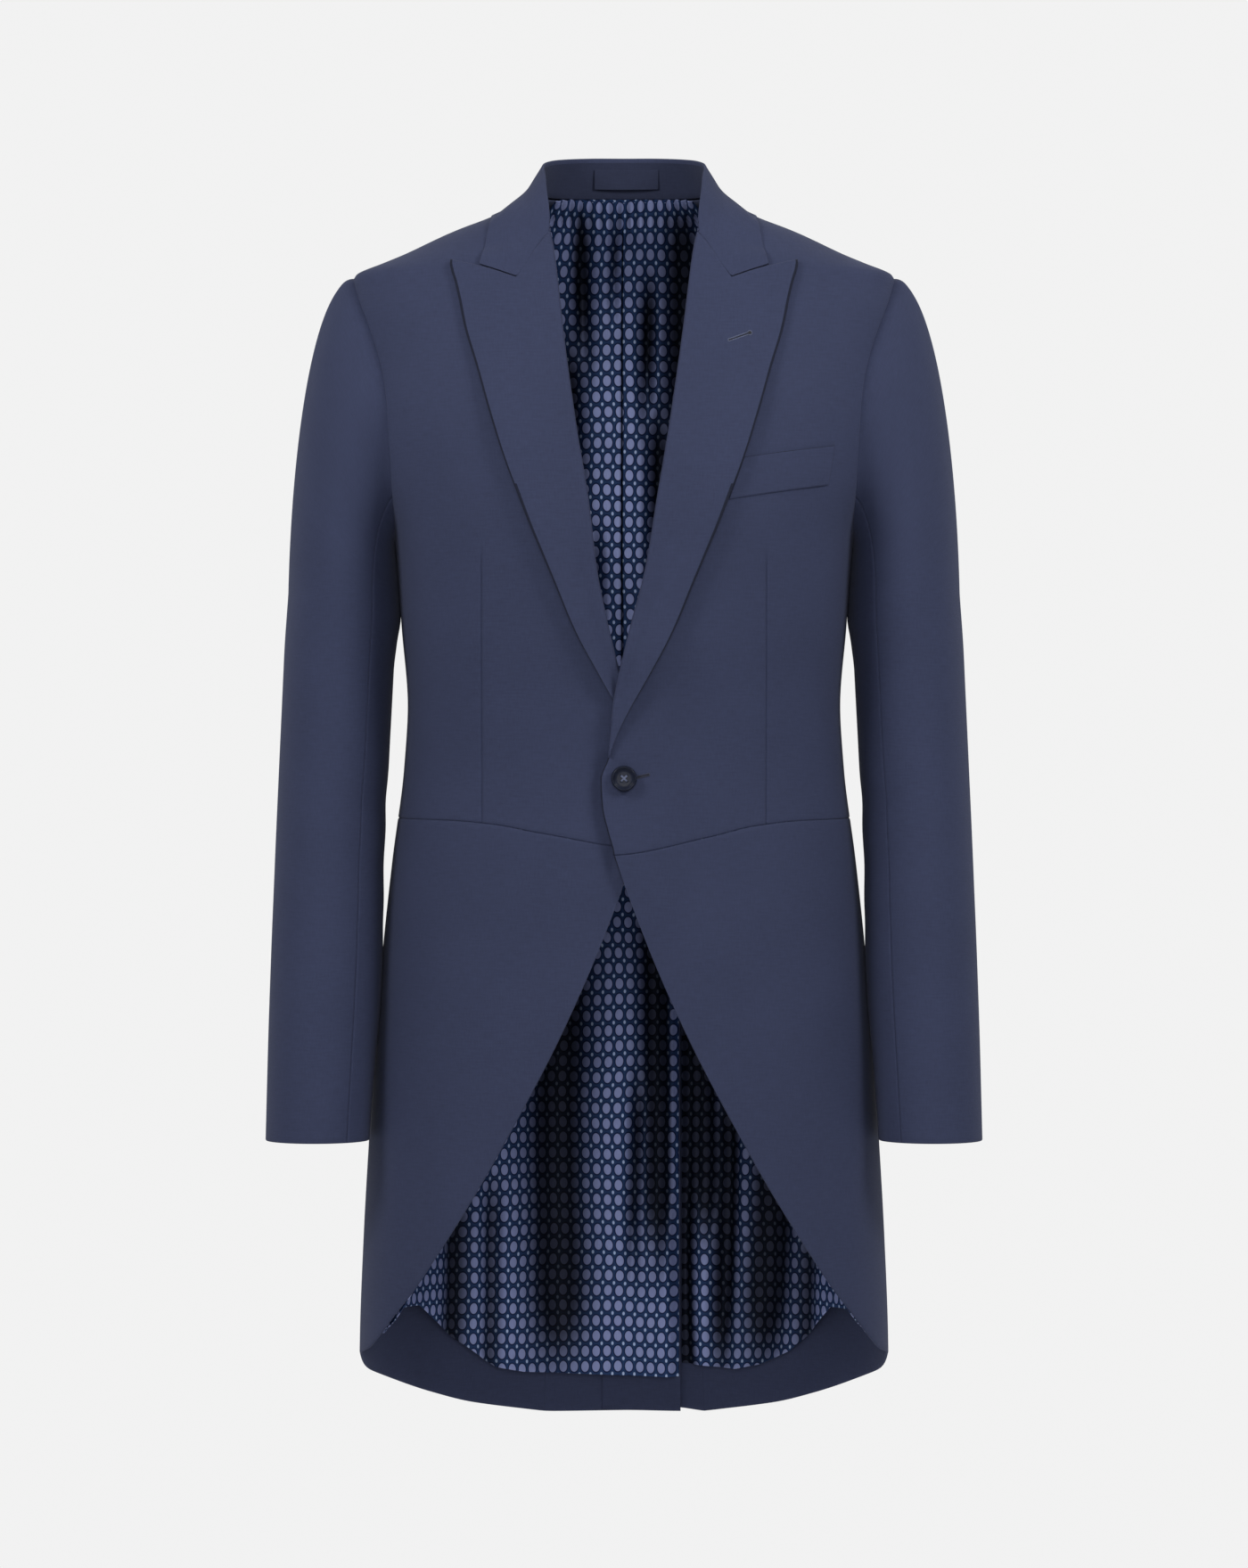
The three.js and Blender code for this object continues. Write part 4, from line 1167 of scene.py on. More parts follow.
def lapel_faces(side):
    """Outer and inner faces of a lapel, rolled round the forepart's edge at the fold."""
    edge = front_edge(side)
    top = chain((3 / 8, gorge_line), (1, peak_line))
    foot = lapel_line(1.0)
    first = edge(BREAK_Z)

    def bottom(t):
        return pair(mix(first[0], foot[0], t), mix(BREAK_Z, -420.5, t))

    place = patch(
        bottom, top, lambda t: edge(mix(BREAK_Z, NECK_Z, t)), lambda t: lapel_line(1 - t)
    )
    grid = even_grid(48, 140, place)
    over, lift = lap_over(side), lapel_lift(side)
    edges = {"left": "hidden", "right": "free", "top": "seam", "bottom": "free"}
    outer, inner, grid = wrap(grid, BODY_SURFACE, edges, LAYER_GAP + CLOTH, CLOTH, lift)
    turn, z = grid[:, 0, 0], grid[:, 0, 1]
    p, n = body_point(turn, z), body_normal(turn, z)
    ahead = unit(p - body_point(grid[:, 4, 0], grid[:, 4, 1]))
    way = unit(ahead - n * np.einsum("ij,ij->i", ahead, n)[:, None])
    height = np.einsum("ij,ij->i", outer[:, 0] - p, n)
    floor = over(turn, z) - CLOTH * ease(-412, -392, z)
    angles = np.radians(np.linspace(-90, 84, 11))
    hooks = {}
    for name, reach, inset in (("outer", 2.4, 0.0), ("inner", 1.0, 1.5)):
        middle = (height + floor) / 2
        half = np.maximum((height - floor) / 2 - inset * 0.9, 0.4)
        rows = []
        for angle in angles:
            rise_by = middle + half * math.sin(angle)
            out_by = reach * math.cos(angle) - CLOTH
            rows.append(p + n * rise_by[:, None] + way * out_by)
        hooks[name] = np.stack(rows, 1)
    outer = np.concatenate([hooks["outer"], outer[:, 3:]], axis=1)
    inner = np.concatenate([hooks["inner"], inner[:, 3:]], axis=1)
    extra = np.repeat(grid[:, :1], len(angles), axis=1)
    grid = np.concatenate([extra, grid[:, 3:]], axis=1)
    return outer, inner, grid


# Collar
collar_guides = {
    name: spline([(-x, y, z) for x, y, z in points[:0:-1]] + points)
    for name, points in COLLAR.items()
}


def settle(points, lift):
    """Moves points outwards until they lie at least this far above the body."""
    turn = np.degrees(np.arctan2(points[..., 0], -points[..., 1]))
    z = points[..., 2]
    normal = body_normal(turn, z)
    height = np.einsum("...i,...i->...", points - body_point(turn, z), normal)
    return points + normal * np.maximum(lift - height, 0)[..., None]


def collar_middle(columns=150):
    """Middle surface of the collar: stand, rounded fold and fall."""
    u = np.linspace(0, 1, columns + 1)
    seam, fold, fall, edge = (collar_guides[n](u) for n in ("seam", "fold", "fall", "edge"))
    down = unit(mix(seam, fall, 0.5) - fold)
    apart = np.linalg.norm(fold - seam, axis=-1)[:, None]
    near = np.minimum(0.12, 3.2 / np.maximum(apart, 1e-3))
    stations = [
        seam, mix(seam, fold, 0.4), mix(seam, fold, 0.75), mix(fold, seam, near),
        fold + down * 0.2, mix(fold, fall, near * 1.3), mix(fold, fall, 0.5), fall,
        mix(fall, edge, 0.5), edge,
    ]
    stack = np.stack(stations, 0)
    share = np.concatenate([
        np.linspace(0, 3 / 9, 16)[:-1], np.linspace(3 / 9, 5 / 9, 15)[:-1],
        np.linspace(5 / 9, 1, 30),
    ])
    smooth = np.stack([spline(stack[:, k])(share) for k in range(len(u))], 1)
    flat = np.stack([
        [np.interp(share * 9, np.arange(10), stack[:, k, axis]) for axis in range(3)]
        for k in range(len(u))
    ], 0).transpose(2, 0, 1)
    near_end = ease(0.84, 0.96, np.abs(2 * u - 1))[None, :]
    thin = ease(0.7, 1, share)[:, None] * mix(1.0, 0.15, near_end)
    lift = COLLAR_LIFT - 0.75 * thin + 1.3 * ease(0.6, 0.85, share)[:, None] * near_end
    return settle(mix(smooth, flat, near_end[..., None]), lift), thin


def grid_normals(points):
    along = np.gradient(points, axis=1)
    up = np.gradient(points, axis=0)
    return unit(np.cross(along, up))


def collar_faces():
    middle, thin = collar_middle()
    tail = middle[-1] - middle[-2]
    length = np.linalg.norm(tail, axis=-1, keepdims=True)
    inward = [middle[-1] - tail / length * d for d in (1.0, 0.5, 0.18, 0.02)]
    middle = np.concatenate([middle[:-1], np.stack(inward)])
    drop = np.zeros(len(middle))
    drop[-4:] = [0.0, 0.07, 0.18, 0.32]
    thin = np.concatenate([thin[:-1], np.repeat(thin[-1:], 4, axis=0)])
    normal = grid_normals(middle)
    half = (mix(CLOTH / 2, 0.42, thin) - drop[:, None])[..., None]
    return middle + normal * half, middle - normal * half


# Linings, with the folds where they lie back against the cloth
LINING_BASE = -CLOTH - LINING_GAP
BACK_LINING_FOOT_Z = -448.0
SKIRT_LINING_TURN = 64.0
NECK_STITCH_PITCH = 0.0046
BACK_LINING_FOLDS = table("x share width lean top foot", [
    (-7, 1, 3.6, 0.02, 44, -80), (-36, 1, 8, -0.05, 58, -140), (20, 0.95, 6, 0, 2, -180),
    (50, 0.97, 17, 0, 60, -380), (-45, 0.85, 10, 0, -50, -330), (33, 0.85, 8, 0.02, -110, -500),
    (-31, 0.6, 7, -0.02, -210, -500),
])
SKIRT_LINING_FOLDS = table("x share width lean top foot", [
    (-144, 0.75, 11, 0.04, -680, -1040), (-112, 0.55, 8, 0.03, -730, -1010),
    (-56, 1, 24, 0.01, -480, -960), (9, 0.6, 5, 0.01, -650, -880),
    (29, 1, 14, 0, -480, -870), (53, 1, 7, 0, -450, -1100), (68, 1, 13, 0, -500, -860),
    (86, 1, 9, 0.02, -660, -965), (124, 1, 20, 0.05, -650, -960),
    (160, 0.6, 9, 0.05, -740, -1040),
])


def slack_left(folds, x, z, middle):
    """Share of the slack that stays between the hollows, where the lining lies back."""
    stay = 1 + 0 * z
    for centre, share, width, lean, top, foot in zip(*folds.values()):
        line = centre + (z - middle) * lean + 1.5 * np.sin(z / 50 + centre)
        reach = ease(top, top - 70, z) * ease(foot, foot + 110, z)
        stay = stay * (1 - share * bump(x, line, width) * reach)
    return stay


def lining_top(across):
    """Top of the back lining, highest at the centre."""
    return 33.4 - 3.2 * across ** 2


def pleat_crease(turn, z, width):
    return bump(turn, 180.76, width) * ease(26, -6, z)


def gather_wave(x):
    return np.cos(x * 0.785 + 0.9 * np.sin(x / 9))


# Share of painted fold shade on the back lining: in the folds' hollows, between the gathers and
# along the pleat's crease.
def back_lining_fold_shade(turn, z):
    x = body_point(turn, z)[..., 0]
    gathered = 0.25 * (1 - gather_wave(x)) * ease(0, 24, z)
    hollow = 1 - slack_left(BACK_LINING_FOLDS, x, z, -30) * (1 - gathered)
    hollow = ease(-0.05, 0.9, hollow)
    return np.maximum(hollow * ease(40, 20, z), pleat_crease(turn, z, 0.32))


def back_lining_folds(turn, z):
    """Ease pleat down the centre, gathers under the collar and slack folds below them."""
    x = body_point(turn, z)[..., 0]
    slack = 2.6 * user_size("lining_fold")
    hang = ease(33, 8, z) * ease(BACK_LINING_FOOT_Z, -400, z)
    pleat = 1.4 * ease(180.6, 180.9, turn) * ease(14, -14, z) - 2.6 * pleat_crease(turn, z, 0.16)
    gathers = 0.8 * (1 + gather_wave(x)) * ease(-14, 22, z)
    return -(0.4 + pleat + gathers + slack * hang * slack_left(BACK_LINING_FOLDS, x, z, -30))


def vent_rise(x, z):
    """How far the underlap stands off the tail beneath it, towards its free edge."""
    return 6.5 * ease(2, 44, x) * ease(-480, -620, z) * (1 - 0.45 * ease(-800, -950, z))


# Share of painted fold shade on a skirt lining, in the hollows of its folds.
def skirt_lining_fold_shade(side, turn, z):
    x = body_point(turn, z)[..., 0] * SIGN[side]
    hollow = ease(-0.28, 0.8, 1 - slack_left(SKIRT_LINING_FOLDS, x, z, -800))
    return hollow * (1 if side == "left" else ease(49, 36, x))


def skirt_lining_folds(side):
    def at(turn, z):
        x = body_point(turn, z)[..., 0] * SIGN[side]
        slack = 4.2 * user_size("lining_fold")
        hang = ease(-466, -600, z) * (1 - 0.35 * ease(-850, -925, z))
        cover = 0.4 + 0 * z
        if side == "right":
            cover = 2.6 + vent_rise(x, z)
            hang = hang * ease(49, 36, x)
        return -cover - slack * hang * slack_left(SKIRT_LINING_FOLDS, x, z, -800)

    return at


def vent_turn(x, z):
    return 180 - np.degrees(np.arctan2(x, back_at(z)))


# Lower edge of the skirt linings, by distance from the centre line
LINING_HEM = {
    "right": [(-48, -927.5), (0, -926.4), (40, -924.9), (85, -922.7), (109, -918.3),
              (120.5, -911), (137.5, -898.5), (158, -882.4), (180, -862.6)],
    "left": [(48, -916.5), (51, -916.9), (94, -920.5), (115, -916.1), (141, -903.7),
             (162, -883.1), (180, -864.1)],
}


def lining_hem_at(side, turn):
    x, z = np.array(LINING_HEM[side]).T
    turns = 180 - np.degrees(np.arctan2(x, back_at(z) * rest_share(x / half_at(z), z)))
    low = np.interp(turn, turns[::-1], z[::-1])
    facing = cutaway_at(np.minimum(turn, 110)) + CUTAWAY_FACING
    return mix(facing, low, ease(88, 112, turn))


def lining_uvs(grid, face):
    """Figure of the lining, centred on the back, pulled a little unevenly by the folds."""
    turn, z = grid[..., 0], grid[..., 1]
    across = girth(turn, z) - girth(180 + 0 * turn, z)
    aside = 0.9 * np.sin(z / 31 + across / 60) + 0.4 * np.sin(z / 13 + across / 24)
    down = 0.7 * np.sin(across / 21 + z / 70) + 0.35 * np.sin(across / 9 + z / 45)
    return np.stack([across + 4.6 + aside, face[..., 2] + down], -1)


# Sizes and colours that a user may change
def length_property(name, description, default):
    return bpy.props.FloatProperty(
        name=name, description=description, default=default, min=0.0, unit="LENGTH", precision=5
    )


def colour_property(name, description, default):
    return bpy.props.FloatVectorProperty(
        name=name, description=description, default=default, min=0.0, max=1.0, size=3,
        subtype="COLOR",
    )


class CoatSizes(bpy.types.PropertyGroup):
    """Depths of the seams, folds and stitches"""

    seam_depth: length_property("Seam depth", "How far a pressed seam sinks", 0.0009)
    lapel_roll: length_property("Lapel roll", "Rise of the lapel at its fold", 0.0016)
    body_drape: length_property("Body drape", "Depth of the drapes on the body", 0.0012)
    sleeve_crease: length_property("Sleeve crease", "Depth of the sleeve's creases", 0.0016)
    lining_fold: length_property("Lining fold", "Depth of the lining's folds", 0.003)
    stitch_length: length_property("Stitch length", "Length of a hand stitch", 0.0018)
    thread_width: length_property("Thread width", "Width of the sewing thread", 0.00045)


class CoatColours(bpy.types.PropertyGroup):
    """Colours of the cloth, lining, button and threads"""

    cloth: colour_property("Cloth", "Navy worsted", (0.038, 0.0465, 0.094))
    lining_ground: colour_property("Lining ground", "Blue of the satin", (0.032, 0.072, 0.2))
    lining_ring: colour_property("Lining ring", "Ring round each oval", (0.013, 0.024, 0.078))
    lining_oval: colour_property("Lining oval", "Light ovals", (0.38, 0.44, 0.78))
    lining_dot: colour_property("Lining dot", "Small pale dots", (0.5, 0.62, 0.9))
    button: colour_property("Button", "Dark resin", (0.012, 0.015, 0.028))
    navy_thread: colour_property("Navy thread", "Thread of the buttonhole", (0.035, 0.04, 0.075))
    pale_thread: colour_property("Pale thread", "Thread that fells the lining", (0.2, 0.24, 0.42))


def studio_world():
    """Even pale backdrop for the camera, and a glow that grows upwards and behind."""
    world = bpy.data.worlds.new("Pale studio")
    world.use_nodes = True
    tree = world.node_tree
    backdrop = tree.nodes["Background"]
    fill(tree, backdrop, [("Color", (0.886, 0.886, 0.886, 1.0))])
    around = node(tree, "ShaderNodeTexCoord").outputs[0]
    way = node(tree, "ShaderNodeSeparateXYZ", [(0, around)]).outputs
    level, behind = ramp(tree, way[2], -0.7, 0.5), ramp(tree, way[1], -0.3, 0.6)
    front = colour_mix(tree, level, (0.1, 0.1, 0.104, 1), (0.34, 0.34, 0.35, 1))
    back = colour_mix(tree, level, (0.36, 0.36, 0.36, 1), (0.62, 0.62, 0.62, 1))
    glow = [("Color", colour_mix(tree, behind, front, back))]
    cast = node(tree, "ShaderNodeBackground", glow).outputs[0]
    straight = node(tree, "ShaderNodeLightPath").outputs["Is Camera Ray"]
    both = node(tree, "ShaderNodeMixShader", [(0, straight), (1, cast), (2, backdrop.outputs[0])])
    fill(tree, tree.nodes["World Output"], [("Surface", both.outputs[0])])
    return world


def studio_floor(height=-1350.0, around=96):
    """Round pale floor below the coat."""
    turns = np.linspace(0, math.tau, around + 1)[:-1]
    points = [(0.0, 0.0, height)]
    for radius in (500.0, 1000.0, 1600.0):
        points += [(radius * np.cos(t), radius * np.sin(t), height) for t in turns]
    near = 1 + np.arange(around)
    after = np.roll(near, -1)
    fan = np.stack([0 * near, near, after], -1).tolist()
    for inner in (0, around):
        outer = inner + around
        fan += np.stack([near + inner, near + outer, after + outer, after + inner], -1).tolist()
    mesh = bpy.data.meshes.new("Floor")
    mesh.from_pydata((np.array(points) * MM).tolist(), [], fan)
    material, tree, place = new_material("Pale floor")
    cloud = noise(tree, place, 2.0, 2.0)
    tint = colour_mix(tree, cloud, (0.78, 0.78, 0.78, 1), (0.82, 0.82, 0.82, 1))
    fill(tree, tree.nodes["Principled BSDF"], [("Base Color", tint), ("Roughness", 0.9)])
    mesh.materials.append(material)
    return placed("Floor", mesh)


class COAT_OT_stage(bpy.types.Operator):
    """Camera, soft studio light and pale floor"""

    bl_idname = "coat.stage"
    bl_label = "Stage"

    def execute(self, context):
        scene = context.scene
        scene.view_settings.view_transform = "Standard"
        view = bpy.data.cameras.new("View")
        view.lens = 129.8
        scene.camera = placed("View", view)
        scene.camera.location = (0.0, -4.5, -0.441)
        scene.camera.rotation_euler = (math.pi / 2, 0.0, 0.0)
        scene.world = studio_world()
        for name, place, target, size, power in (
            ("Left light", (-1.2, -1.05, 0.62), -0.15, 0.6, 13.5),
            ("Right light", (1.25, -1.05, 0.66), -0.15, 0.6, 15.0),
            ("Front light", (0.0, -3.4, 0.1), -0.2, 1.1, 21.0),
        ):
            lamp = bpy.data.lights.new(name, "AREA")
            lamp.shape, lamp.size, lamp.energy = "DISK", size, power
            light = placed(name, lamp)
            light.location = place
            way = Vector((0.0, 0.0, target)) - Vector(place)
            light.rotation_euler = way.to_track_quat("-Z", "Y").to_euler()
            light.visible_camera = False
        studio_floor()
        return {"FINISHED"}


class BothSides:
    """Operators whose pieces come as a left and a right one."""

    def execute(self, context):
        for side in SIGN:
            self.make(side)
        return {"FINISHED"}


def draped(grid, side, **edges):
    """Faces of a body panel, with its drape."""
    return wrap(grid, BODY_SURFACE, edges, 0, CLOTH, body_drape(side))


def facing_inside(grid, side):
    """Marks where the inner face shows lining: all but a facing along the front edge."""
    turn, z = grid[..., 0], grid[..., 1]
    edge = front_edge(side)(np.clip(z, WAIST_FRONT_Z[side], NECK_Z))[..., 0]
    return girth(turn, z) - girth(edge, z) > FACING_WIDTH


class COAT_OT_foreparts(BothSides, bpy.types.Operator):
    """Fronts from the waist seam to the shoulder, with their long darts"""

    bl_idname = "coat.foreparts"
    bl_label = "Foreparts"

    def make(self, side):
        faces = draped(forepart_grid(side), side, left="free")
        grid = faces[2]
        # Painted shade: the first columns along the front edge below the break take a darker copy
        # of the cloth, for the shadow line at the edge.
        cloth_piece(
            f"forepart_{side}_cloth", faces, ["collar"], side,
            [worsted(), satin(), edge_shade_cloth()], inside=facing_inside(grid, side),
            edging=marked(grid, columns=EDGE_SHADE_COLUMNS) & (grid[..., 1] < BREAK_Z),
        )


class COAT_OT_side_bodies(BothSides, bpy.types.Operator):
    """Side panels below the armholes"""

    bl_idname = "coat.side_bodies"
    bl_label = "Side bodies"

    def make(self, side):
        faces = draped(side_body_grid(), side)
        cloth_piece(
            f"side_body_{side}_cloth", faces, [f"forepart_{side}", f"back_{side}"], side,
            [worsted(), satin()], inside=marked(faces[2]),
        )


class COAT_OT_backs(BothSides, bpy.types.Operator):
    """Backs from the neck to the tails, open below the waist as a vent"""

    bl_idname = "coat.backs"
    bl_label = "Backs"

    def make(self, side):
        faces = draped(back_grid(side), side, bottom="free")
        cloth_piece(f"back_{side}_cloth", faces, ["collar"], side)


class COAT_OT_skirts(BothSides, bpy.types.Operator):
    """Cutaway skirts hung from the waist seam"""

    bl_idname = "coat.skirts"
    bl_label = "Skirts"

    def make(self, side):
        faces = draped(skirt_grid(side), side, left="free", bottom="free")
        # Painted shade: the columns along the cutaway edge take a darker copy of the cloth.
        cloth_piece(
            f"skirt_{side}_cloth", faces, [f"forepart_{side}"], side,
            [worsted(), edge_shade_cloth()], edging=marked(faces[2], columns=EDGE_SHADE_COLUMNS),
        )


class COAT_OT_vent_underlap(bpy.types.Operator):
    """Underlap inside the centre vent"""

    bl_idname = "coat.vent_underlap"
    bl_label = "Vent underlap"

    def execute(self, context):
        def place(u, v):
            z = mix(HEM["z"][-1] + 0.4, WAIST_BACK_Z - 4, v)
            return pair(vent_turn(mix(VENT_UNDERLAP, UNDERLAP_BACK_X, u), z), z)

        def lift(turn, z):
            return -vent_rise(body_point(turn, z)[..., 0], z)

        outer, inner, grid = wrap(
            even_grid(16, 80, place), BODY_SURFACE, dict.fromkeys(EDGES, "free"),
            -CLOTH - LAYER_GAP, UNDERLAP_THICKNESS, lift,
        )
        thin = mix(0.2, 1.0, ease(UNDERLAP_BACK_X, 6, outer[..., :1]))
        outer = outer + body_normal(grid[..., 0], grid[..., 1]) * 0.5 * (1 - thin)
        inner = mix(outer, inner, thin)
        cloth_piece("vent_underlap_cloth", (outer, inner, grid), ["back_right"])
        return {"FINISHED"}


class COAT_OT_lapels(BothSides, bpy.types.Operator):
    """Peak lapels rolled back from the fronts"""

    bl_idname = "coat.lapels"
    bl_label = "Lapels"

    def make(self, side):
        faces = lapel_faces(side)
        # Painted shade: the last columns at the open edge, and one more below the chest, take a
        # darker copy of the cloth.
        turned = marked(faces[2], columns=slice(-6, None))
        turned[:, -6] = faces[2][:, -6, 1] < -210
        cloth_piece(
            f"lapel_{side}_cloth", faces, [f"forepart_{side}"], side,
            [worsted(), edge_shade_cloth()], held="folded", edging=turned,
        )


class COAT_OT_collar(bpy.types.Operator):
    """Collar: stand, fold and fall round the neck"""

    bl_idname = "coat.collar"
    bl_label = "Collar"

    def execute(self, context):
        outer, inner = collar_faces()
        uvs = pair(centred(reach(outer, 1), 1), -reach(outer, 0))
        # Painted shade: the stand's rows take a darker copy of the cloth, for the shade inside the
        # collar.
        cloth_piece(
            "collar_cloth", (outer, inner, None), ["back_left", "back_right"],
            materials=[worsted(), collar_shade_cloth()], uvs=uvs, held="folded",
            edging=marked(outer, rows=STAND_ROWS),
        )
        return {"FINISHED"}


class COAT_OT_sleeves(BothSides, bpy.types.Operator):
    """Top and under sleeves, set into the armholes"""

    bl_idname = "coat.sleeves"
    bl_label = "Sleeves"

    def make(self, side):
        head, arm = np.linspace(0, HEAD_SHARE, 61), np.linspace(HEAD_SHARE, 1, 81)
        for name, start, end, columns, nodes in (
            ("top", FOREARM_SEAM, HINDARM_SEAM, 96, ("sleeve_head", "top_sleeve")),
            ("under", HINDARM_SEAM, FOREARM_SEAM + 360, 54, ("under_sleeve",)),
        ):
            turns = np.linspace(start, end, columns + 1)
            faces = wrap(
                pair(*np.meshgrid(turns, np.concatenate([head, arm[1:]]))), SLEEVE_SURFACE,
                {"top": "free", "bottom": "hidden"}, 0, CLOTH, sleeve_creases,
            )
            grid = faces[2]
            cloth_piece(
                f"{name}_sleeve_{side}_cloth", faces, [f"forepart_{side}", f"back_{side}"],
                side, [worsted(), satin()], sleeve_uvs(grid, side),
                [f"{name}_{side}" for name in nodes], inside=grid[..., 1] < SLEEVE_LINING_END,
            )


class COAT_OT_back_lining(bpy.types.Operator):
    """Lining of the back, with its ease pleat and gathers"""

    bl_idname = "coat.back_lining"
    bl_label = "Back lining"

    def execute(self, context):
        shares = np.sort(np.concatenate([np.linspace(0, 1, 241), np.linspace(0.5045, 0.508, 8)]))
        u, v = np.meshgrid(shares, np.linspace(0, 1, 131))
        across = 2 * u - 1
        z = mix(BACK_LINING_FOOT_Z, lining_top(across), v ** 0.8)
        spread = mix(74, 56, ease(-340, -220, z))
        turn = 180 + across * 60 + (spread - 60) * across ** 3
        outer, inner, grid = wrap(
            pair(turn, z), BODY_SURFACE, dict.fromkeys(EDGES, "hidden"), LINING_BASE, LINING,
            back_lining_folds,
        )
        cloth_piece(
            "back_lining_satin", (outer, inner, grid), ["back_left", "back_right"],
            materials=[satin()], uvs=lining_uvs(grid, inner), slot="lining", held="gathered",
            hollow=back_lining_fold_shade(grid[..., 0], grid[..., 1]),
        )
        return {"FINISHED"}


class COAT_OT_skirt_linings(BothSides, bpy.types.Operator):
    """Linings of the skirts and tails, hung in soft folds"""

    bl_idname = "coat.skirt_linings"
    bl_label = "Skirt linings"

    def make(self, side):
        inner_edge = 1 + VENT_UNDERLAP * SIGN[side]

        def place(u, v):
            foot = mix(vent_turn(inner_edge, -920.0), SKIRT_LINING_TURN, u)
            z = mix(lining_hem_at(side, foot), WAIST_BACK_Z - 8, v)
            return pair(mix(vent_turn(inner_edge, z), SKIRT_LINING_TURN, u), z)

        outer, inner, grid = wrap(
            even_grid(150, 110, place), BODY_SURFACE,
            {"left": "free", "bottom": "free", "right": "hidden", "top": "hidden"},
            LINING_BASE, LINING, skirt_lining_folds(side),
        )
        cloth_piece(
            f"skirt_lining_{side}_satin", (outer, inner, grid),
            [f"back_{side}", f"skirt_{side}"], side, [satin()],
            lining_uvs(grid, inner) * np.array([SIGN[side], 1.0]),
            slot="lining", hollow=skirt_lining_fold_shade(side, grid[..., 0], grid[..., 1]),
        )


class COAT_OT_breast_welt(bpy.types.Operator):
    """Breast pocket welt on the wearer's left"""

    bl_idname = "coat.breast_welt"
    bl_label = "Breast welt"

    def execute(self, context):
        a, b, c, d = front_pairs(WELT_CORNERS)
        place = patch(path([d, c]), path([a, b]), path([d, a]), path([c, b]))
        edges = {"top": "free", "left": "hidden"}
        faces = wrap(
            even_grid(40, 20, place), BODY_SURFACE, edges, LAYER_GAP + WELT_THICKNESS,
            WELT_THICKNESS,
        )
        # Painted shade: the welt's top rows and end columns take a darker copy of the cloth.
        turned = marked(faces[2], rows=slice(-4, None)) | marked(faces[2], columns=slice(-3, None))
        cloth_piece(
            "breast_welt_cloth", faces, ["forepart_left"], materials=[worsted(), edge_shade_cloth()],
            edging=turned,
        )
        return {"FINISHED"}


# Button, from its profile of radius and height over the cloth, and its four holes
BUTTON_PROFILE = [
    (0.01, 0), (4, 0), (7.5, 0.05), (9.1, 0.8), (10, 2.2), (9.65, 3.5), (8.8, 4.2), (8.1, 3.8),
    (7.4, 3.1), (6.1, 2.7), (2.5, 2.6), (0.01, 2.6),
]
HOLE_OFFSET = 2.2
HOLE_RADIUS = 0.95


def button_point(x, z, height):
    """Point by its places across, up and out from the button's seat."""
    seat, facing = on_body(0.0, BUTTON_Z, LAP_LIFT + BUTTON_GAP), body_normal(0.0, BUTTON_Z)
    right = np.array([1.0, 0.0, 0.0])
    up = unit(np.cross(facing, right))
    x, z, height = (np.asarray(value, float)[..., None] for value in (x, z, height))
    return seat + right * x + up * z + facing * height


def round_solid(name, bodies):
    """Object of closed bodies, each of rings of points, with every face outwards."""
    points, faces = [], []
    for rings in bodies:
        count, around = rings.shape[:2]
        index = len(points) + np.arange(count * around).reshape(count, around)
        after = np.roll(index, -1, axis=1)
        sides = np.stack([index[:-1], after[:-1], after[1:], index[1:]], -1).reshape(-1, 4)
        faces += [*sides.tolist(), index[0][::-1].tolist(), index[-1].tolist()]
        points += (rings.reshape(-1, 3) * MM).tolist()
    mesh = bpy.data.meshes.new(name)
    mesh.from_pydata(points, [], faces)
    work = bmesh.new()
    work.from_mesh(mesh)
    bmesh.ops.recalc_face_normals(work, faces=work.faces)
    work.to_mesh(mesh)
    work.free()
    return placed(name, mesh)


class COAT_OT_front_button(bpy.types.Operator):
    """Four-hole button with its thread and shank"""

    bl_idname = "coat.front_button"
    bl_label = "Front button"

    def execute(self, context):
        radii, heights = spline(BUTTON_PROFILE)(np.linspace(0, 1, 56)).T[..., None]
        turns = np.linspace(0, math.tau, 97)[:-1]
        rings = button_point(radii * np.cos(turns), radii * np.sin(turns), heights)
        piece = round_solid("front_button_resin", [rings])
        piece.data.materials.append(resin())
        turns = np.linspace(0, math.tau, 25)[:-1]
        holes = round_solid("holes", [
            button_point(
                x * HOLE_OFFSET + HOLE_RADIUS * np.cos(turns),
                z * HOLE_OFFSET + HOLE_RADIUS * np.sin(turns), np.array([[-1.0], [6.0]]),
            )
            for x, z in ((1, 1), (1, -1), (-1, 1), (-1, -1))
        ])
        cut = piece.modifiers.new("Holes", "BOOLEAN")
        cut.operation, cut.solver, cut.object = "DIFFERENCE", "EXACT", holes
        graph = context.evaluated_depsgraph_get()
        holed = bpy.data.meshes.new_from_object(piece.evaluated_get(graph), depsgraph=graph)
        piece.modifiers.clear()
        piece.data = holed
        bpy.data.objects.remove(holes)
        smooth_faces(holed, 40)
        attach(piece, "root")
        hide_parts("front_button")
        share, height = np.array([
            (-1, 1.4), (-0.96, 2.5), (-0.7, 2.95), (0, 3.15), (0.7, 2.95), (0.96, 2.5), (1, 1.4),
        ]).T
        strands = []
        for slope in (1, -1):
            rise = height + 0.25 * (share == 0) * (slope < 0)
            for aside in (-0.294, 0.0, 0.294):
                across = share * HOLE_OFFSET
                line = button_point(across + aside, (across - aside) * slope, rise)
                strands.append(spline(line)(np.linspace(0, 1, 25)))
        for turn in np.arange(10) * math.tau / 10:
            shank = np.array([-2.3, -1.0, 0.2])
            strands.append(button_point(1.2 * math.cos(turn), 1.2 * math.sin(turn), shank))
        grow("button_thread", strands, cord_group(), radius=0.00035, thread=silk())
        return {"FINISHED"}


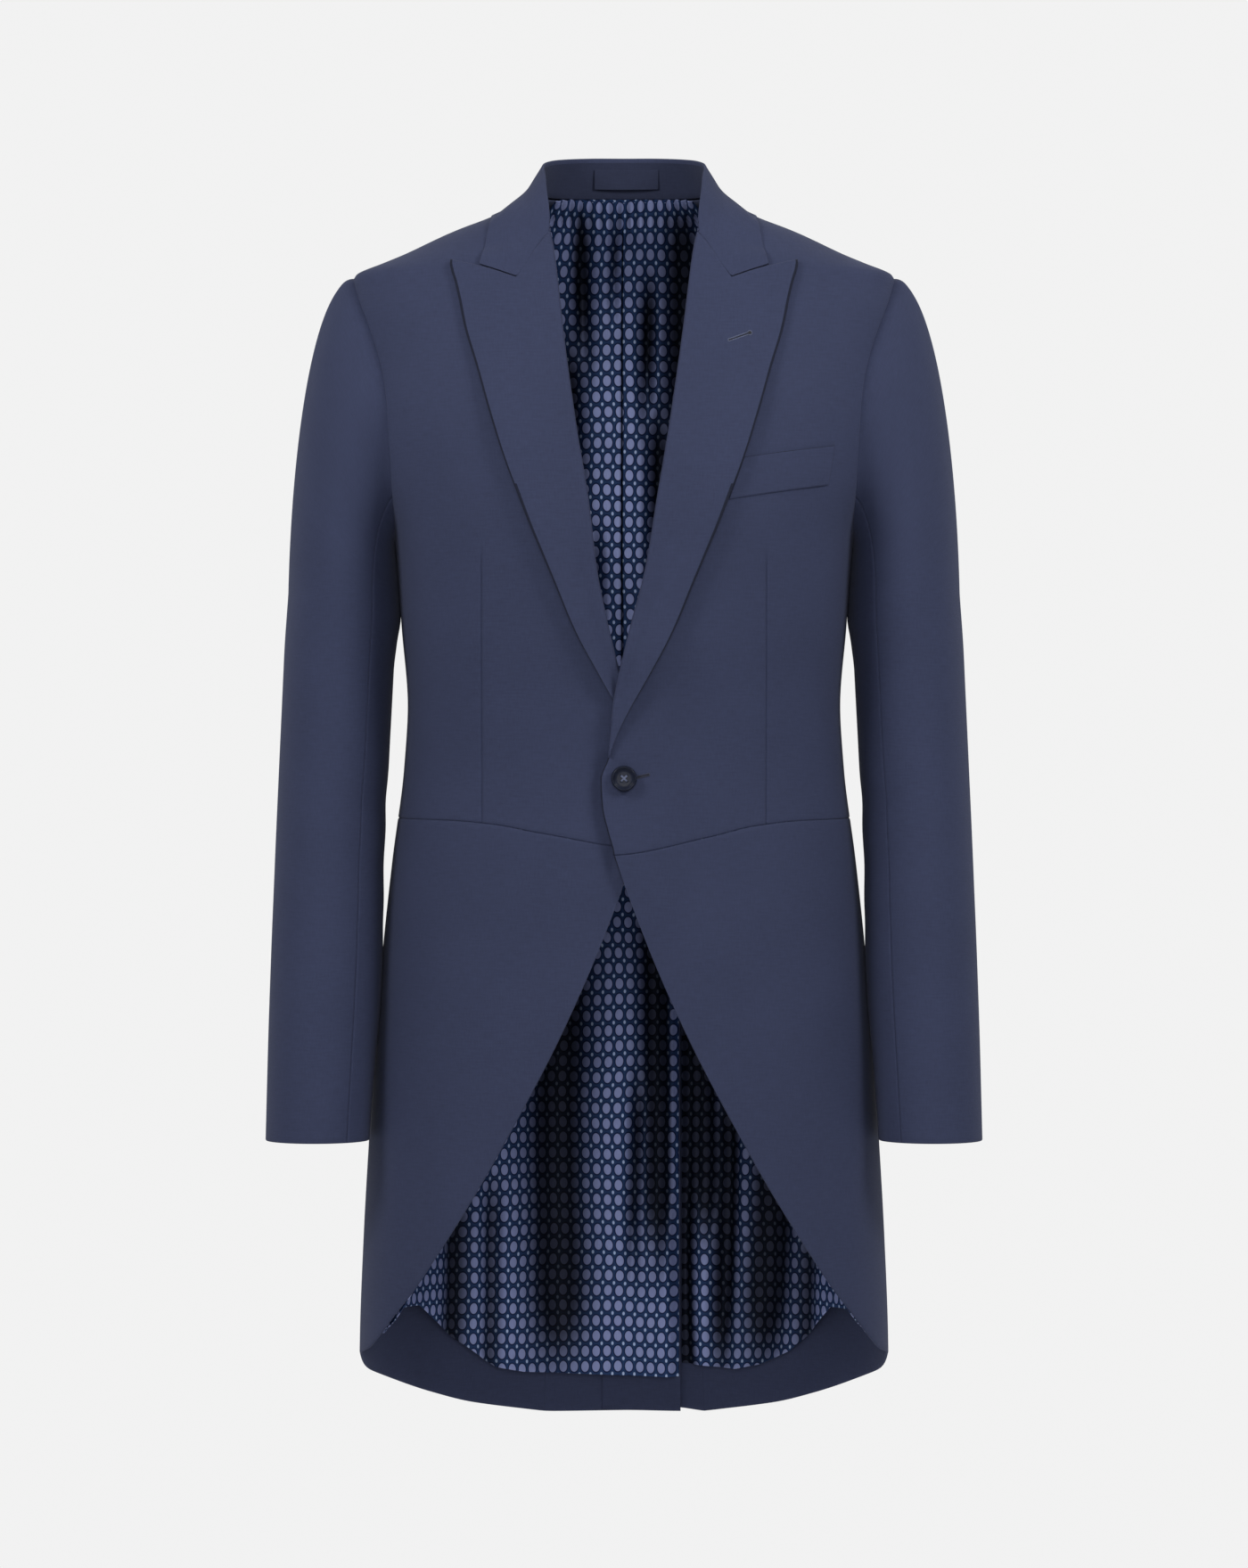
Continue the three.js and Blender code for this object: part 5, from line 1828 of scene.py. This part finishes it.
class COAT_OT_buttonholes(bpy.types.Operator):
    """Worked buttonholes beside the button and on the lapel"""

    bl_idname = "coat.buttonholes"
    bl_label = "Buttonholes"

    def execute(self, context):
        navy = silk("Navy silk", colour=context.scene.coat_colours.navy_thread)
        # The near-black silk of the slit and the eye is painted shade for the opening.
        dark = silk("Black silk", colour=(0.006, 0.006, 0.012))
        over, lapel = lap_over("left"), lapel_lift("left")
        for name, start, end, eye, base, height, colour in (
            ("front_buttonhole", (19.2, -433.8), (6.0, -437.0), 1.6, 0.0, over, navy),
            ("lapel_buttonhole", (81.0, -97.0), (97.5, -91.0), 1.7, 2.7, lapel, silk()),
        ):
            a, b = np.array(start), np.array(end)
            way = (b - a) / np.linalg.norm(b - a)
            across = np.array([-way[1], way[0]])
            half, neck = across * 0.9, b - way * eye * 1.6

            def round_eye(turns, radius):
                return [b + (way * np.cos(t) + across * np.sin(t)) * radius for t in turns]

            def lay(points, lift):
                x, z = np.array(points).T
                turn = front_turn(x, z)
                return on_body(turn, z, base + lift + height(turn, z))

            edge = [a + half, neck + half, *round_eye(np.radians(np.linspace(140, -140, 13)), eye)]
            edge += [neck - half, a - half, a - way * 0.5, a + half]
            grow(
                name, [lay(edge, 0.12)], stitch_group(), spacing=0.00046, length=0.0011,
                thickness=0.0004, across=1.0, facing=tuple(body_normal(front_turn(*a), a[1])),
                unevenness=0.16, thread=colour,
            )
            # Painted shade: near-black cords along the slit and in the eye stand in for the shaded
            # opening.
            slit = [mix(a, b, t) for t in np.linspace(0.02, 1.0, 12)]
            grow(name + "_slit", [lay(slit, 0.06)], cord_group(), radius=0.00034, thread=dark)
            inner = lay(round_eye(np.linspace(0, math.tau, 13), eye * 0.45), 0.05)
            grow(name + "_eye", [inner], cord_group(), radius=0.0006, thread=dark)
        return {"FINISHED"}


class COAT_OT_hanger_patch(bpy.types.Operator):
    """Small cloth patch inside the collar stand"""

    bl_idname = "coat.hanger_patch"
    bl_label = "Hanger patch"

    def execute(self, context):
        curve = 190.0

        def patch_point(x, z):
            return np.stack([x, 70.3 - x * x / curve, z], -1)

        def patch_normal(x, z):
            return unit(np.stack([2 * x / curve, np.ones_like(x), np.zeros_like(x)], -1))

        faces = wrap(
            pair(*np.meshgrid(np.linspace(-24, 28, 31), np.linspace(39, 55, 13))),
            (patch_point, patch_normal), dict.fromkeys(EDGES, "free"), -0.45, PATCH_THICKNESS,
        )
        # Painted shade: the patch takes the darker copy of the cloth used inside the collar.
        cloth_piece(
            "hanger_patch_cloth", faces, ["collar"], materials=[collar_shade_cloth()], uvs=faces[2]
        )
        return {"FINISHED"}


class COAT_OT_stitching(bpy.types.Operator):
    """Hand stitches that fell the lining at the neck"""

    bl_idname = "coat.stitching"
    bl_label = "Stitching"

    def execute(self, context):
        sizes, colours = context.scene.coat_sizes, context.scene.coat_colours
        turns = np.linspace(180 - 52, 180 + 52, 120)
        heights = lining_top((turns - 180) / 56) - 1.8
        lifts = LINING_BASE + back_lining_folds(turns, heights) - LINING
        grow(
            "neck_stitches", [on_body(turns, heights, lifts - 0.1)], stitch_group(),
            spacing=NECK_STITCH_PITCH, length=sizes.stitch_length, thickness=sizes.thread_width,
            across=0.0, facing=(0.0, -1.0, 0.0), unevenness=0.12,
            thread=silk("Grey silk", colour=colours.pale_thread),
        )
        return {"FINISHED"}


class COAT_PT_panel(bpy.types.Panel):
    """Buttons that make the coat's pieces, with their sizes and colours"""

    bl_idname = "COAT_PT_panel"
    bl_label = "Morning coat"
    bl_space_type = "VIEW_3D"
    bl_region_type = "UI"
    bl_category = "Coat"

    def draw(self, context):
        for kind in OPERATORS:
            self.layout.operator(kind.bl_idname)
        for group in (context.scene.coat_sizes, context.scene.coat_colours):
            box = self.layout.box()
            for name in group.__annotations__:
                box.prop(group, name)


OPERATORS = (
    COAT_OT_stage,
    COAT_OT_foreparts,
    COAT_OT_side_bodies,
    COAT_OT_backs,
    COAT_OT_skirts,
    COAT_OT_vent_underlap,
    COAT_OT_lapels,
    COAT_OT_collar,
    COAT_OT_sleeves,
    COAT_OT_back_lining,
    COAT_OT_skirt_linings,
    COAT_OT_breast_welt,
    COAT_OT_front_button,
    COAT_OT_buttonholes,
    COAT_OT_hanger_patch,
    COAT_OT_stitching,
)
CLASSES = (CoatSizes, CoatColours) + OPERATORS + (COAT_PT_panel,)


def register():
    for kind in CLASSES:
        bpy.utils.register_class(kind)
    bpy.types.Scene.coat_sizes = bpy.props.PointerProperty(type=CoatSizes)
    bpy.types.Scene.coat_colours = bpy.props.PointerProperty(type=CoatColours)


def unregister():
    del bpy.types.Scene.coat_colours
    del bpy.types.Scene.coat_sizes
    for kind in reversed(CLASSES):
        bpy.utils.unregister_class(kind)


def main():
    register()
    for kind in OPERATORS:
        group, name = kind.bl_idname.split(".")
        getattr(getattr(bpy.ops, group), name)()


if __name__ == "__main__":
    main()
